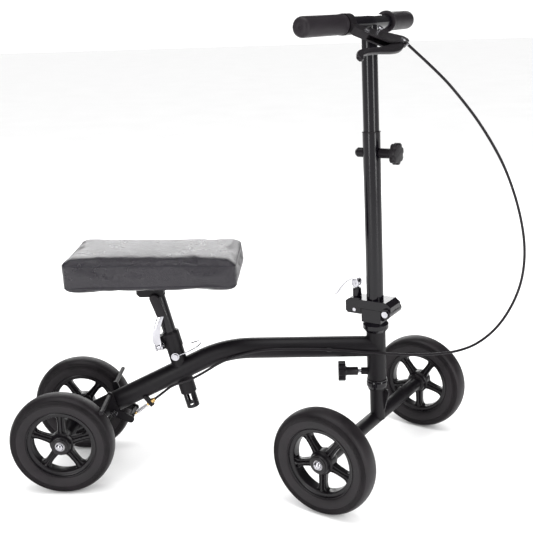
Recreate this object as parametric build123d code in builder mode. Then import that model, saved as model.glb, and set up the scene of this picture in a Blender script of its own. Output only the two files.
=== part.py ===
"""Knee scooter: a steerable four-wheeled frame with a knee pad, a folding stem and a rear brake.

Millimetres, +X forward, +Y to the rider's left, +Z up. The origin is on the floor under the middle
of the whole scooter. The front axle is drawn turned to the rider's right, as the scooter is parked.
"""

from build123d import *
import math
import os

os.makedirs("parts", exist_ok=True)

# ---- driving dimensions -------------------------------------------------------------------------
STEER_X = 218.76         # where the steering axis meets the floor, ahead of the origin
MID_Y = -3.76            # the frame's middle plane
RAKE = 1.4               # degrees the steering axis leans back
STEER_ANGLE = 31.5       # degrees the front axle is turned to the right

WHEEL_R = 100.0
TYRE_W = 40.0
RIM_R = 67.0             # where the tyre meets the rim
WINDOW_R = 56.5          # outer edge of the windows between the spokes
SPOKES = 5
REAR_X = -604.6          # rear axle, from the steering axis
REAR_TRACK = 88.4        # half the distance between the rear wheels' middle planes
FRONT_X = -7.2           # front axle, behind the steering axis
FRONT_TRACK = 203.6
HUB_R = 18.5
HUB_HALF = 21.0          # half the hub's width
BEARING_R = 15.0
BEARING_W = 9.0
AXLE_R = 5.0             # axle bolt's shank
FIT = 0.05               # radial clearance of a shaft in its hole
GAP = 0.3                # clearance between faces that move past each other

BEAM_R = 20.0
BEAM_WALL = 2.5
BEAM_Z = 250.5           # height of the level part of the beam
BEAM_SLOPE = 26.0        # degrees the rear part of the beam falls
BEAM_BEND = 220.0
AXLE_TUBE_R = 14.0

HEAD_R = 18.3
HEAD_LOW = 184.0
HEAD_HIGH = 283.0
STEERER_R = 14.3
CUP_R = 24.5
CUP_LOW_R = 20.5
CUP_TOP = 303.0
CUP_BOTTOM = 167.0

STEM_R = 16.0            # lower stem tube
STEM_TOP = 659.0
UPPER_R = 14.3           # upper stem tube
KNOB_Z = 622.0
BAR_Z = 847.0
BAR_R = 12.7
BAR_HALF = 197.0         # along the bar's centre line, from the stem to one end
BAR_SWEEP = 6.0          # degrees each half of the bar is swept back
GRIP_R = 16.8
GRIP_LEN = 116.0
FOLD_X = 33.0            # fold hinge, ahead of the stem, in the stem's own frame
FOLD_Z = 327.0
SWING_X = -38.0          # swing bolt, behind the stem

POST_LEAN = 13.5         # degrees the seat post leans back
POST_R = 12.7
POST_WALL = 2.2
SLEEVE_R = 15.9
POST_BASE = (-366.0, 0.0, 140.0)   # a point on the post's axis, from the steering axis
SLEEVE_START = 22.5      # distances along the post's axis from that point
SLEEVE_END = 150.0
POST_START = -9.0
POST_END = 250.0
PIN_S = 105.0            # snap pin's place along the post
PIN_R = 3.9
SEAT_MID_X = -419.0
SEAT_LEN = 314.0
SEAT_WIDTH = 172.0
SEAT_LOW = 396.0
SEAT_TOP = 449.0
BOARD_T = 9.0

CABLE_R = 2.5
WIRE_R = 0.9


# ---- frames of reference ------------------------------------------------------------------------
def tilted(origin, x_dir, z_dir):
    """A frame at a point with its own forward and up directions."""
    return Plane(origin=origin, x_dir=x_dir, z_dir=z_dir)


def turned_about(vector, axis_dir, degrees):
    """A direction turned about an axis through the origin."""
    return Vector(*vector).rotate(Axis((0, 0, 0), axis_dir), degrees)


chassis = tilted((STEER_X, MID_Y, 0), (1, 0, 0), (0, 0, 1))
rake_rad = math.radians(RAKE)
steer_axis = (-math.sin(rake_rad), 0, math.cos(rake_rad))
steer_forward = turned_about((math.cos(rake_rad), 0, math.sin(rake_rad)), steer_axis, -STEER_ANGLE)
level_forward = turned_about((1, 0, 0), (0, 0, 1), -STEER_ANGLE)
column = tilted((STEER_X, MID_Y, 0), steer_forward, steer_axis)
front = tilted((STEER_X, MID_Y, 0), level_forward, (0, 0, 1))
bar_origin = column.from_local_coords(Vector(0, 0, BAR_Z))
bar_frame = tilted(bar_origin, level_forward, (0, 0, 1))
lean_rad = math.radians(POST_LEAN)
post_axis = (-math.sin(lean_rad), 0, math.cos(lean_rad))
post_forward = (math.cos(lean_rad), 0, math.sin(lean_rad))
post = tilted(chassis.from_local_coords(Vector(*POST_BASE)), post_forward, post_axis)


def along(frame, direction):
    """A frame's own direction, in the scooter's directions."""
    x, y, z = direction
    return frame.x_dir * x + frame.y_dir * y + frame.z_dir * z


def at(frame, place, normal=(0, 0, 1), across=None):
    """A plane at a place of a frame, facing a direction of that frame."""
    x_dir = along(frame, across) if across else None
    return Plane(origin=frame.from_local_coords(Vector(*place)), x_dir=x_dir, z_dir=along(frame, normal))


def disc(plane, radius):
    """A filled circle on a plane."""
    with BuildSketch(plane) as sketch:
        Circle(radius)
    return sketch.sketch


def slab(plane, width, height, corner=0.0):
    """A rectangle on a plane, with its corners rounded."""
    with BuildSketch(plane) as sketch:
        if corner:
            RectangleRounded(width, height, corner)
        else:
            Rectangle(width, height)
    return sketch.sketch


def hexagon(plane, flats):
    """A hexagon on a plane, by its distance across flats."""
    with BuildSketch(plane) as sketch:
        RegularPolygon(flats / 2, 6, major_radius=False)
    return sketch.sketch


def outline(plane, points):
    """A closed outline of straight sides on a plane."""
    with BuildSketch(plane) as sketch:
        with BuildLine():
            Polyline(*points, close=True)
        make_face()
    return sketch.sketch


def spin_axis(plane):
    """The axis that a turned outline goes round: the plane's own X line."""
    return Axis(plane.origin, plane.x_dir)


def lobed(plane, radius, lobes, depth):
    """A star grip's outline: a circle with round bites taken out of its rim."""
    with BuildSketch(plane) as sketch:
        Circle(radius)
        with PolarLocations(radius + depth, lobes):
            Circle(depth * 2, mode=Mode.SUBTRACT)
    return sketch.sketch


def finish(piece, name):
    """Labels a finished piece and writes its STEP file."""
    piece.label = name
    export_step(piece, "parts/" + name + ".step")


def route(frame, points, radii):
    """Straight runs through points of a frame, joined by arcs of the given radii."""
    places = [frame.from_local_coords(Vector(*point)) for point in points]
    with BuildLine() as line:
        FilletPolyline(*places, radius=radii)
    return line.line


def start_of(path):
    """The plane across the start of a path."""
    return Plane(origin=path @ 0, z_dir=path % 0)


# ---- wheels -------------------------------------------------------------------------------------
def wheel_frame(which):
    """A wheel's own frame: X and Z in the wheel's plane, Y outwards along its axle."""
    if which.startswith("rear"):
        side = 1 if which.endswith("left") else -1
        middle = chassis.from_local_coords(Vector(REAR_X, side * REAR_TRACK, WHEEL_R))
        outward = along(chassis, (0, side, 0))
    else:
        side = 1 if which.endswith("left") else -1
        middle = front.from_local_coords(Vector(FRONT_X, side * FRONT_TRACK, WHEEL_R))
        outward = along(front, (0, side, 0))
    x_dir = outward.cross(Vector(0, 0, 1))
    return Plane(origin=middle, x_dir=x_dir, z_dir=(0, 0, 1))


# angle of the first spoke of each wheel, from its frame's X towards Z
FIRST_SPOKE = {"rear_wheel_left": 50.0, "rear_wheel_right": 92.0,
               "front_wheel_left": 129.0, "front_wheel_right": 55.0}
TYRE_EDGE = TYRE_W / 2
RIM_HALF = 15.0


def make_wheel(which):
    """One wheel: tyre, moulded five-spoke rim and two ball bearings."""
    frame = wheel_frame(which)
    # the turning axis runs along the frame's Y, so outlines lie in its Y-Z plane
    section = at(frame, (0, 0, 0), (-1, 0, 0), (0, -1, 0))
    axis = spin_axis(section)

    with BuildPart() as tyre:
        with BuildSketch(section):
            with BuildLine():
                Polyline((RIM_HALF, RIM_R), (RIM_HALF + 2, RIM_R + 3), (TYRE_EDGE - 1.5, 76), (TYRE_EDGE, 84))
                Line((TYRE_EDGE, 84), (TYRE_EDGE, 91))
                ThreePointArc((TYRE_EDGE, 91), (16.5, 96.8), (8, 99.2))
                ThreePointArc((8, 99.2), (0, WHEEL_R), (-8, 99.2))
                ThreePointArc((-8, 99.2), (-16.5, 96.8), (-TYRE_EDGE, 91))
                Line((-TYRE_EDGE, 91), (-TYRE_EDGE, 84))
                Polyline((-TYRE_EDGE, 84), (-TYRE_EDGE + 1.5, 76), (-RIM_HALF - 2, RIM_R + 3), (-RIM_HALF, RIM_R))
                Line((-RIM_HALF, RIM_R), (RIM_HALF, RIM_R))
            make_face()
        revolve(axis=axis)
    finish(tyre.part, which + "_tyre")

    with BuildPart() as rim:
        # rim ring with a raised lip at each side
        ring = [(RIM_HALF, RIM_R), (RIM_HALF, RIM_R - 3), (RIM_HALF - 3, RIM_R - 4), (RIM_HALF - 4, WINDOW_R),
                (-RIM_HALF + 4, WINDOW_R), (-RIM_HALF + 3, RIM_R - 4), (-RIM_HALF, RIM_R - 3), (-RIM_HALF, RIM_R)]
        revolve(outline(section, ring), axis=axis)
        hub = [(-HUB_HALF, AXLE_R + 5), (-HUB_HALF, HUB_R - 3), (-HUB_HALF + 2, HUB_R), (HUB_HALF - 2, HUB_R),
               (HUB_HALF, HUB_R - 3), (HUB_HALF, AXLE_R + 5)]
        revolve(outline(section, hub), axis=axis)
        face = at(frame, (0, 0, 0), (0, 1, 0), (1, 0, 0))
        # each spoke is a broad thin web with a narrow deep rib along its middle
        for i in range(SPOKES):
            angle = math.radians(-(FIRST_SPOKE[which] + i * 360 / SPOKES))
            middle = (HUB_R + WINDOW_R) / 2
            centre = face.from_local_coords(Vector(middle * math.cos(angle), middle * math.sin(angle), 0))
            line = face.x_dir * math.cos(angle) + face.y_dir * math.sin(angle)
            spoke = Plane(origin=centre, x_dir=line, z_dir=face.z_dir)
            length = WINDOW_R - HUB_R + 4
            extrude(slab(spoke, length, 15), amount=4, both=True)
            extrude(slab(spoke, length, 4), amount=9.5, both=True)
        # seats for the two bearings and the way through for the axle
        seat = disc(at(frame, (0, HUB_HALF, 0), (0, -1, 0)), BEARING_R)
        extrude(seat, amount=BEARING_W + 1, mode=Mode.SUBTRACT)
        seat = disc(at(frame, (0, -HUB_HALF, 0), (0, 1, 0)), BEARING_R)
        extrude(seat, amount=BEARING_W + 1, mode=Mode.SUBTRACT)
    finish(rim.part, which + "_rim")

    with BuildPart() as bearings:
        for side in (1, -1):
            start = at(frame, (0, side * (HUB_HALF - 1), 0), (0, -side, 0))
            extrude(disc(start, BEARING_R), amount=BEARING_W)
            extrude(disc(start, AXLE_R + FIT), amount=BEARING_W, mode=Mode.SUBTRACT)
    finish(bearings.part, which + "_bearings")


for wheel in FIRST_SPOKE:
    make_wheel(wheel)


# ---- frame --------------------------------------------------------------------------------------
slope = math.radians(BEAM_SLOPE)
beam_corner_x = REAR_X + (BEAM_Z - WHEEL_R) / math.tan(slope)
head_x = -BEAM_Z * math.tan(rake_rad)
beam_points = [(head_x, 0, BEAM_Z), (beam_corner_x, 0, BEAM_Z), (REAR_X, 0, WHEEL_R)]
hollow_front = (head_x - HEAD_R - 1, 0, BEAM_Z)
hollow_rear = (REAR_X + 20 * math.cos(slope), 0, WHEEL_R + 20 * math.sin(slope))
axle_tube_half = REAR_TRACK - HUB_HALF - 1
SLEEVE_BORE = POST_R + 1.5
BRAKE_PIVOT = (-514.5, 0, 131.0)
ADJUSTER = (-446.0, -15.0, 146.0)
ADJUSTER_DIR = (-0.80, 0, -0.60)
HEAD_KNOB_Z = 199.5
NUT_SEAT = 25.0          # depth of the threaded insert at each axle end


with BuildPart() as main_frame:
    beam_path = route(chassis, beam_points, BEAM_BEND)
    sweep(disc(start_of(beam_path), BEAM_R), path=beam_path)
    inner_path = route(chassis, [hollow_front, beam_points[1], hollow_rear], BEAM_BEND)
    sweep(disc(start_of(inner_path), BEAM_R - BEAM_WALL), path=inner_path, mode=Mode.SUBTRACT)
    # head tube
    extrude(disc(at(column, (0, 0, HEAD_LOW)), HEAD_R), amount=HEAD_HIGH - HEAD_LOW)
    extrude(disc(at(column, (0, 0, HEAD_LOW)), STEERER_R + 1.5), amount=HEAD_HIGH - HEAD_LOW, mode=Mode.SUBTRACT)
    # rear axle tube with a boss at each end that meets the bearing's inner ring
    axle_middle = at(chassis, (REAR_X, 0, WHEEL_R), (0, 1, 0))
    extrude(disc(axle_middle, AXLE_TUBE_R), amount=axle_tube_half, both=True)
    extrude(disc(axle_middle, 7.5), amount=REAR_TRACK - HUB_HALF + 1 - GAP, both=True)
    extrude(disc(axle_middle, AXLE_TUBE_R - BEAM_WALL), amount=axle_tube_half - NUT_SEAT - 4, both=True, mode=Mode.SUBTRACT)
    for side in (1, -1):
        end = at(chassis, (REAR_X, side * (REAR_TRACK - HUB_HALF + 1), WHEEL_R), (0, -side, 0))
        extrude(disc(end, AXLE_R + FIT), amount=NUT_SEAT, mode=Mode.SUBTRACT)
    # sleeve for the seat post, with a thicker collar and its two clamp ears
    extrude(disc(at(post, (0, 0, SLEEVE_START)), SLEEVE_R), amount=SLEEVE_END - SLEEVE_START - 30)
    # brake pivot boss across the beam and the lug that holds the cable's adjuster
    extrude(disc(at(chassis, BRAKE_PIVOT, (0, 1, 0)), 8), amount=23.5, both=True)
    extrude(disc(at(chassis, BRAKE_PIVOT, (0, 1, 0)), 4 + FIT), amount=30, both=True, mode=Mode.SUBTRACT)
    lug = at(chassis, (-449, -15, 150), ADJUSTER_DIR, (0, 1, 0))
    extrude(slab(lug, 10, 26, 2), amount=3.5, both=True)
    extrude(disc(at(chassis, ADJUSTER, ADJUSTER_DIR), 3.5), amount=12, both=True, mode=Mode.SUBTRACT)
    # boss of the steering tension screw
    boss_start = at(chassis, (-5, 0, HEAD_KNOB_Z), (-1, 0, 0))
    extrude(disc(boss_start, 7), amount=30)
    extrude(disc(boss_start, 4 + FIT), amount=31, mode=Mode.SUBTRACT)
    # the bores go in last
    extrude(disc(at(column, (0, 0, HEAD_LOW - 1)), STEERER_R + 1.5), amount=HEAD_HIGH - HEAD_LOW + 2, mode=Mode.SUBTRACT)
    extrude(disc(at(post, (0, 0, SLEEVE_START - 1)), SLEEVE_BORE), amount=SLEEVE_END, mode=Mode.SUBTRACT)
    extrude(disc(at(post, (0, 0, PIN_S), (0, 1, 0)), PIN_R + FIT), amount=40, both=True, mode=Mode.SUBTRACT)
finish(main_frame.part, "main_frame")

with BuildPart() as seat_collar:
    # split clamp collar on top of the sleeve, with two ears at the rear
    low = SLEEVE_END - 30
    extrude(disc(at(post, (0, 0, low)), SLEEVE_R + 1.5), amount=30)
    extrude(slab(at(post, (-18, 0, low + 15), (0, 1, 0), (0, 0, 1)), 26, 24, 4), amount=9, both=True)
    extrude(disc(at(post, (0, 0, low)), SLEEVE_BORE), amount=30, mode=Mode.SUBTRACT)
    extrude(slab(at(post, (-24, 0, low + 15), (0, 1, 0), (0, 0, 1)), 40, 24), amount=1.2, both=True, mode=Mode.SUBTRACT)
    extrude(disc(at(post, (-24, 0, low + 12), (0, 1, 0)), 3 + FIT), amount=20, both=True, mode=Mode.SUBTRACT)
finish(seat_collar.part, "seat_collar")

with BuildPart() as post_bushing:
    extrude(disc(at(post, (0, 0, SLEEVE_START)), SLEEVE_BORE), amount=SLEEVE_END - SLEEVE_START)
    extrude(disc(at(post, (0, 0, SLEEVE_END)), SLEEVE_BORE + 1), amount=2)
    extrude(disc(at(post, (0, 0, SLEEVE_START)), POST_R + FIT), amount=200, mode=Mode.SUBTRACT)
    extrude(disc(at(post, (0, 0, PIN_S), (0, 1, 0)), PIN_R + FIT), amount=40, both=True, mode=Mode.SUBTRACT)
finish(post_bushing.part, "post_bushing")

BEARING_SEAT = STEERER_R + 3.2
cup_heights = {"upper": (HEAD_HIGH, CUP_TOP, CUP_R), "lower": (CUP_BOTTOM, HEAD_LOW, CUP_LOW_R)}
with BuildPart() as head_cups:
    for low, high, radius in cup_heights.values():
        section = at(column, (0, 0, low), (0, 1, 0), (0, 0, 1))
        tall = high - low
        slope_in = 0.6 * (radius - BEARING_SEAT)
        shape = [(0, BEARING_SEAT), (0, radius - slope_in), (tall * 0.3, radius)]
        shape += [(tall * 0.7, radius), (tall, radius - slope_in), (tall, BEARING_SEAT)]
        revolve(outline(section, shape), axis=spin_axis(section))
    # a lip on each cup meets the end of the head tube
    for low, high, radius in cup_heights.values():
        lip = HEAD_HIGH if low == HEAD_HIGH else HEAD_LOW - 2
        extrude(disc(at(column, (0, 0, lip)), HEAD_R + 1.4), amount=2)
        extrude(disc(at(column, (0, 0, lip - 1)), STEERER_R + 1.5), amount=4, mode=Mode.SUBTRACT)
finish(head_cups.part, "head_cups")

with BuildPart() as head_bearings:
    for low in (HEAD_HIGH + 2, HEAD_LOW - 2 - BEARING_W):
        extrude(disc(at(column, (0, 0, low)), BEARING_SEAT), amount=BEARING_W)
        extrude(disc(at(column, (0, 0, low)), STEERER_R + FIT), amount=BEARING_W, mode=Mode.SUBTRACT)
finish(head_bearings.part, "head_bearings")

with BuildPart() as tension_knob:
    # moulded knob with its threaded steel shank
    start = at(chassis, (-79, 0, HEAD_KNOB_Z), (1, 0, 0))
    extrude(lobed(start, 19.5, 7, 2.2), amount=16)
    fillet(tension_knob.edges().group_by(Axis.X)[0], 1.5)
    extrude(disc(start, 8.2), amount=38)
    extrude(disc(start, 4), amount=58)
finish(tension_knob.part, "tension_knob")


def axle_bolt_pair(frame, x, track, name):
    """Two axle bolts, each with a washer face, a hexagon head and a shank into its axle tube."""
    with BuildPart() as bolts:
        for side in (1, -1):
            place = (x, side * (track + HUB_HALF - 1 + GAP), WHEEL_R)
            outward = at(frame, place, (0, side, 0))
            extrude(disc(outward, 8.5), amount=1.8)
            extrude(hexagon(outward, 13), amount=7.5)
            extrude(disc(at(frame, place, (0, -side, 0)), AXLE_R), amount=2 * HUB_HALF + NUT_SEAT - 4)
    finish(bolts.part, name)


axle_bolt_pair(chassis, REAR_X, REAR_TRACK, "rear_axle_bolts")
axle_bolt_pair(front, FRONT_X, FRONT_TRACK, "front_axle_bolts")

# ---- fork ---------------------------------------------------------------------------------------
FRONT_TUBE_R = 13.5
STEERER_TOP = 309.0
CROWN_TOP = HEAD_LOW - 2 - BEARING_W - 0.1
with BuildPart() as steering_fork:
    axle_middle = at(front, (FRONT_X, 0, WHEEL_R), (0, 1, 0))
    extrude(disc(at(column, (0, 0, WHEEL_R)), STEERER_R), amount=STEERER_TOP - WHEEL_R)
    extrude(disc(at(column, (0, 0, CUP_BOTTOM - 4)), BEARING_SEAT - GAP), amount=CROWN_TOP - CUP_BOTTOM + 4)
    extrude(disc(axle_middle, FRONT_TUBE_R), amount=FRONT_TRACK - HUB_HALF - 1, both=True)
    extrude(disc(axle_middle, 7.5), amount=FRONT_TRACK - HUB_HALF + 1 - GAP, both=True)
    # gusset in front of the steerer, down to the axle tube
    side_view = at(front, (0, 0, 0), (0, -1, 0), (1, 0, 0))
    extrude(outline(side_view, [(-4, 163), (19, 163), (21, 157), (8, 104), (-4, 104)]), amount=2.5, both=True)
    extrude(disc(at(column, (0, 0, WHEEL_R + 16)), STEERER_R - 2.6), amount=STEERER_TOP - WHEEL_R, mode=Mode.SUBTRACT)
    tube_in = FRONT_TRACK - HUB_HALF - 1 - NUT_SEAT - 4
    extrude(disc(axle_middle, FRONT_TUBE_R - BEAM_WALL), amount=tube_in, both=True, mode=Mode.SUBTRACT)
    for side in (1, -1):
        end = at(front, (FRONT_X, side * (FRONT_TRACK - HUB_HALF + 1), WHEEL_R), (0, -side, 0))
        extrude(disc(end, AXLE_R + FIT), amount=NUT_SEAT, mode=Mode.SUBTRACT)
finish(steering_fork.part, "steering_fork")

# ---- folding joint ------------------------------------------------------------------------------
KNUCKLE_R = 9.5
KNUCKLE_IN = 12.0        # half-width of the middle knuckle
KNUCKLE_OUT = 25.0
HINGE_R = 4.0
HEAD_TOP = 347.0         # top of the folding block
CATCH_Z = 323.0          # swing bolt's pivot
CAM_Z = 372.5            # cam lever's pivot
SWING_R = 3.7            # swing bolt's rod
stem_side = at(column, (0, 0, 0), (0, -1, 0), (1, 0, 0))
hinge_line = at(column, (FOLD_X, 0, FOLD_Z), (0, 1, 0))
catch_line = at(column, (SWING_X, 0, CATCH_Z), (0, 1, 0))
cam_line = at(column, (SWING_X, 0, CAM_Z), (0, 1, 0))

with BuildPart() as fold_base:
    block = [(-20, CUP_TOP + GAP), (20, CUP_TOP + GAP), (20, 329), (-20, 329)]
    extrude(outline(stem_side, block), amount=19, both=True)
    arm = [(15, 306), (24, 308), (FOLD_X + 3, 318.5), (FOLD_X, FOLD_Z), (15, 328)]
    extrude(outline(stem_side, arm), amount=KNUCKLE_IN, both=True)
    extrude(disc(hinge_line, KNUCKLE_R), amount=KNUCKLE_IN, both=True)
    extrude(disc(hinge_line, HINGE_R + FIT), amount=KNUCKLE_OUT, both=True, mode=Mode.SUBTRACT)
    extrude(disc(at(column, (0, 0, CUP_TOP)), STEERER_R + FIT), amount=STEERER_TOP - CUP_TOP, mode=Mode.SUBTRACT)
finish(fold_base.part, "fold_base")

with BuildPart() as fold_pin:
    extrude(disc(hinge_line, HINGE_R), amount=KNUCKLE_OUT + GAP, both=True)
    extrude(disc(at(column, (FOLD_X, -KNUCKLE_OUT - GAP, FOLD_Z), (0, -1, 0)), 6.2), amount=3)
finish(fold_pin.part, "fold_pin")

with BuildPart() as fold_head:
    rear_height = math.sqrt((HEAD_TOP - CATCH_Z) ** 2 - 18 ** 2)
    with BuildSketch(stem_side):
        with BuildLine():
            arc_x = SWING_X - (HEAD_TOP - CATCH_Z) * math.sin(math.radians(25))
            arc_z = CATCH_Z + (HEAD_TOP - CATCH_Z) * math.cos(math.radians(25))
            ThreePointArc((SWING_X, HEAD_TOP), (arc_x, arc_z), (SWING_X - 18, CATCH_Z + rear_height))
            Polyline((SWING_X - 18, CATCH_Z + rear_height), (SWING_X - 18, 320), (SWING_X - 14, 316), (-24, 316),
                     (-24, 330), (-10, 330), (-10, HEAD_TOP), (SWING_X, HEAD_TOP))
        make_face()
    extrude(amount=14, both=True)
    block = [(-24, 330), (FOLD_X + 9, 330), (FOLD_X + 9, 339), (FOLD_X - 1, HEAD_TOP), (-24, HEAD_TOP)]
    extrude(outline(stem_side, block), amount=21, both=True)
    extrude(disc(hinge_line, KNUCKLE_R), amount=KNUCKLE_OUT, both=True)
    extrude(disc(hinge_line, KNUCKLE_R + GAP), amount=KNUCKLE_IN + GAP, both=True, mode=Mode.SUBTRACT)
    extrude(disc(hinge_line, HINGE_R + FIT), amount=KNUCKLE_OUT, both=True, mode=Mode.SUBTRACT)
    # slot and bore of the swing bolt, bore of the stem tube
    slot = [(-30.5, 315), (-60, 315), (-60, HEAD_TOP + 1), (-30.5, HEAD_TOP + 1)]
    extrude(outline(stem_side, slot), amount=4.5, both=True, mode=Mode.SUBTRACT)
    extrude(disc(catch_line, 3.5 + FIT), amount=14, both=True, mode=Mode.SUBTRACT)
    extrude(disc(at(column, (0, 0, 334)), STEM_R + FIT), amount=20, mode=Mode.SUBTRACT)
finish(fold_head.part, "fold_head")

with BuildPart() as swing_bolt:
    # eye bolt that pivots in the folding block and carries the cam at its top
    extrude(disc(catch_line, 3.5), amount=14, both=True)
    extrude(disc(catch_line, 7), amount=4, both=True)
    extrude(disc(at(column, (SWING_X, 0, CATCH_Z)), SWING_R), amount=CAM_Z - CATCH_Z)
    extrude(disc(cam_line, 5.5), amount=4, both=True)
    extrude(disc(cam_line, 2.5), amount=9, both=True)
finish(swing_bolt.part, "swing_bolt")

with BuildPart() as catch_nut:
    # plain black nut with a bright flange on its top
    extrude(disc(at(column, (SWING_X, 0, HEAD_TOP + GAP)), 8.5), amount=13.5)
    extrude(disc(at(column, (SWING_X, 0, HEAD_TOP + GAP)), 7.5), amount=16.5)
    extrude(disc(at(column, (SWING_X, 0, HEAD_TOP)), SWING_R + FIT), amount=18, mode=Mode.SUBTRACT)
finish(catch_nut.part, "catch_nut")

with BuildPart() as cam_lever:
    extrude(disc(cam_line, 8), amount=7.9, both=True)
    extrude(disc(cam_line, 8.2), amount=4.4, both=True, mode=Mode.SUBTRACT)
    blade = [(-4, 6.5), (-20, -1), (-32, -12), (-41, -24), (-39, -25.5), (-30, -14.5), (-19, -4), (-8, 1)]
    places = [(SWING_X + x, CAM_Z + z) for x, z in blade]
    extrude(outline(stem_side, places), amount=7.9, both=True)
    extrude(disc(cam_line, 2.5 + FIT), amount=9, both=True, mode=Mode.SUBTRACT)
    extrude(disc(cam_line, 5.8), amount=4.4, both=True, mode=Mode.SUBTRACT)
finish(cam_lever.part, "cam_lever")

# ---- stem and handlebar -------------------------------------------------------------------------
KNOB_SCREW_R = 4.0
UPPER_IN = 180.0         # length of the upper tube inside the lower one
with BuildPart() as lower_stem_tube:
    start = at(column, (0, 0, 334 + GAP))
    extrude(disc(start, STEM_R), amount=STEM_TOP - 334 - GAP)
    extrude(disc(start, UPPER_R + FIT), amount=STEM_TOP - 334, mode=Mode.SUBTRACT)
    extrude(disc(at(column, (0, 0, KNOB_Z), (1, 0, 0)), KNOB_SCREW_R + FIT), amount=30, mode=Mode.SUBTRACT)
finish(lower_stem_tube.part, "lower_stem_tube")

with BuildPart() as stem_bushing:
    extrude(disc(at(column, (0, 0, STEM_TOP)), STEM_R + 0.6), amount=2)
    extrude(disc(at(column, (0, 0, STEM_TOP)), UPPER_R + FIT), amount=2, mode=Mode.SUBTRACT)
finish(stem_bushing.part, "stem_bushing")

with BuildPart() as height_knob:
    # moulded star knob with its threaded shank
    start = at(column, (UPPER_R + GAP, 0, KNOB_Z), (1, 0, 0))
    extrude(disc(start, KNOB_SCREW_R), amount=12)
    extrude(disc(at(column, (STEM_R + GAP, 0, KNOB_Z), (1, 0, 0)), 9), amount=28)
    extrude(lobed(at(column, (42, 0, KNOB_Z), (1, 0, 0)), 20, 7, 2.2), amount=12)
finish(height_knob.part, "height_knob")

with BuildPart() as height_cap:
    # rounded cap on the back of the stem tube
    with BuildSketch(at(column, (0, 0, KNOB_Z), (0, 1, 0), (-1, 0, 0))):
        with BuildLine():
            Polyline((12, 0), (12, 8.8), (27, 8.8), (30.5, 6.6), (32, 0), (12, 0))
        make_face()
    revolve(axis=spin_axis(at(column, (0, 0, KNOB_Z), (0, 1, 0), (-1, 0, 0))))
    extrude(disc(at(column, (0, 0, KNOB_Z - 15)), STEM_R + FIT), amount=30, mode=Mode.SUBTRACT)
finish(height_cap.part, "height_cap")

sweep_rad = math.radians(BAR_SWEEP)
bar_half = {1: (-math.sin(sweep_rad), math.cos(sweep_rad), 0), -1: (-math.sin(sweep_rad), -math.cos(sweep_rad), 0)}
bar_end = BAR_HALF - 4


def bar_place(side, distance):
    """A point on the bar's centre line, by its side and its distance from the stem."""
    return tuple(part * distance for part in bar_half[side])


with BuildPart() as handlebar:
    bar_path = route(bar_frame, [bar_place(-1, bar_end), (0, 0, 0), bar_place(1, bar_end)], 60)
    sweep(disc(start_of(bar_path), BAR_R), path=bar_path)
    extrude(disc(at(column, (0, 0, STEM_TOP - UPPER_IN)), UPPER_R), amount=BAR_Z - 4 - STEM_TOP + UPPER_IN)
    inner_path = route(bar_frame, [bar_place(-1, bar_end - 2), (0, 0, 0), bar_place(1, bar_end - 2)], 60)
    sweep(disc(start_of(inner_path), BAR_R - 2), path=inner_path, mode=Mode.SUBTRACT)
    bore = at(column, (0, 0, STEM_TOP - UPPER_IN))
    extrude(disc(bore, UPPER_R - 2), amount=BAR_Z - 16 - STEM_TOP + UPPER_IN, mode=Mode.SUBTRACT)
finish(handlebar.part, "handlebar")

for side, name in ((1, "grip_left"), (-1, "grip_right")):
    inner = BAR_HALF - GRIP_LEN
    ring = GRIP_R + (2.5 if side == 1 else 0.6)
    section = at(bar_frame, (0, 0, 0), (0, 0, 1), bar_half[side])
    shape = [(inner, BAR_R + FIT), (inner, ring), (inner + 5, ring), (inner + 6.5, GRIP_R), (BAR_HALF - 5, GRIP_R),
             (BAR_HALF - 1.5, GRIP_R - 2), (BAR_HALF, GRIP_R - 6), (BAR_HALF, 0), (bar_end + FIT, 0),
             (bar_end + FIT, BAR_R + FIT)]
    with BuildPart() as grip:
        revolve(outline(section, shape), axis=spin_axis(section))
    finish(grip.part, name)

# ---- brake lever --------------------------------------------------------------------------------
REACH_DROP = 35.0        # degrees the lever's reach falls below level
LEVER_PIVOT = (25, 60)
drop = math.radians(REACH_DROP)
lever_plane = at(bar_frame, (0, 0, 0), (-math.sin(drop), 0, -math.cos(drop)), (0, 1, 0))


def on_lever(x, y, height=0.0, flip=False):
    """A plane parallel to the lever's plane; flip faces it upwards."""
    origin = lever_plane.from_local_coords(Vector(x, y, height))
    z_dir = lever_plane.z_dir * -1 if flip else lever_plane.z_dir
    return Plane(origin=origin, x_dir=lever_plane.x_dir, z_dir=z_dir)


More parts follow.
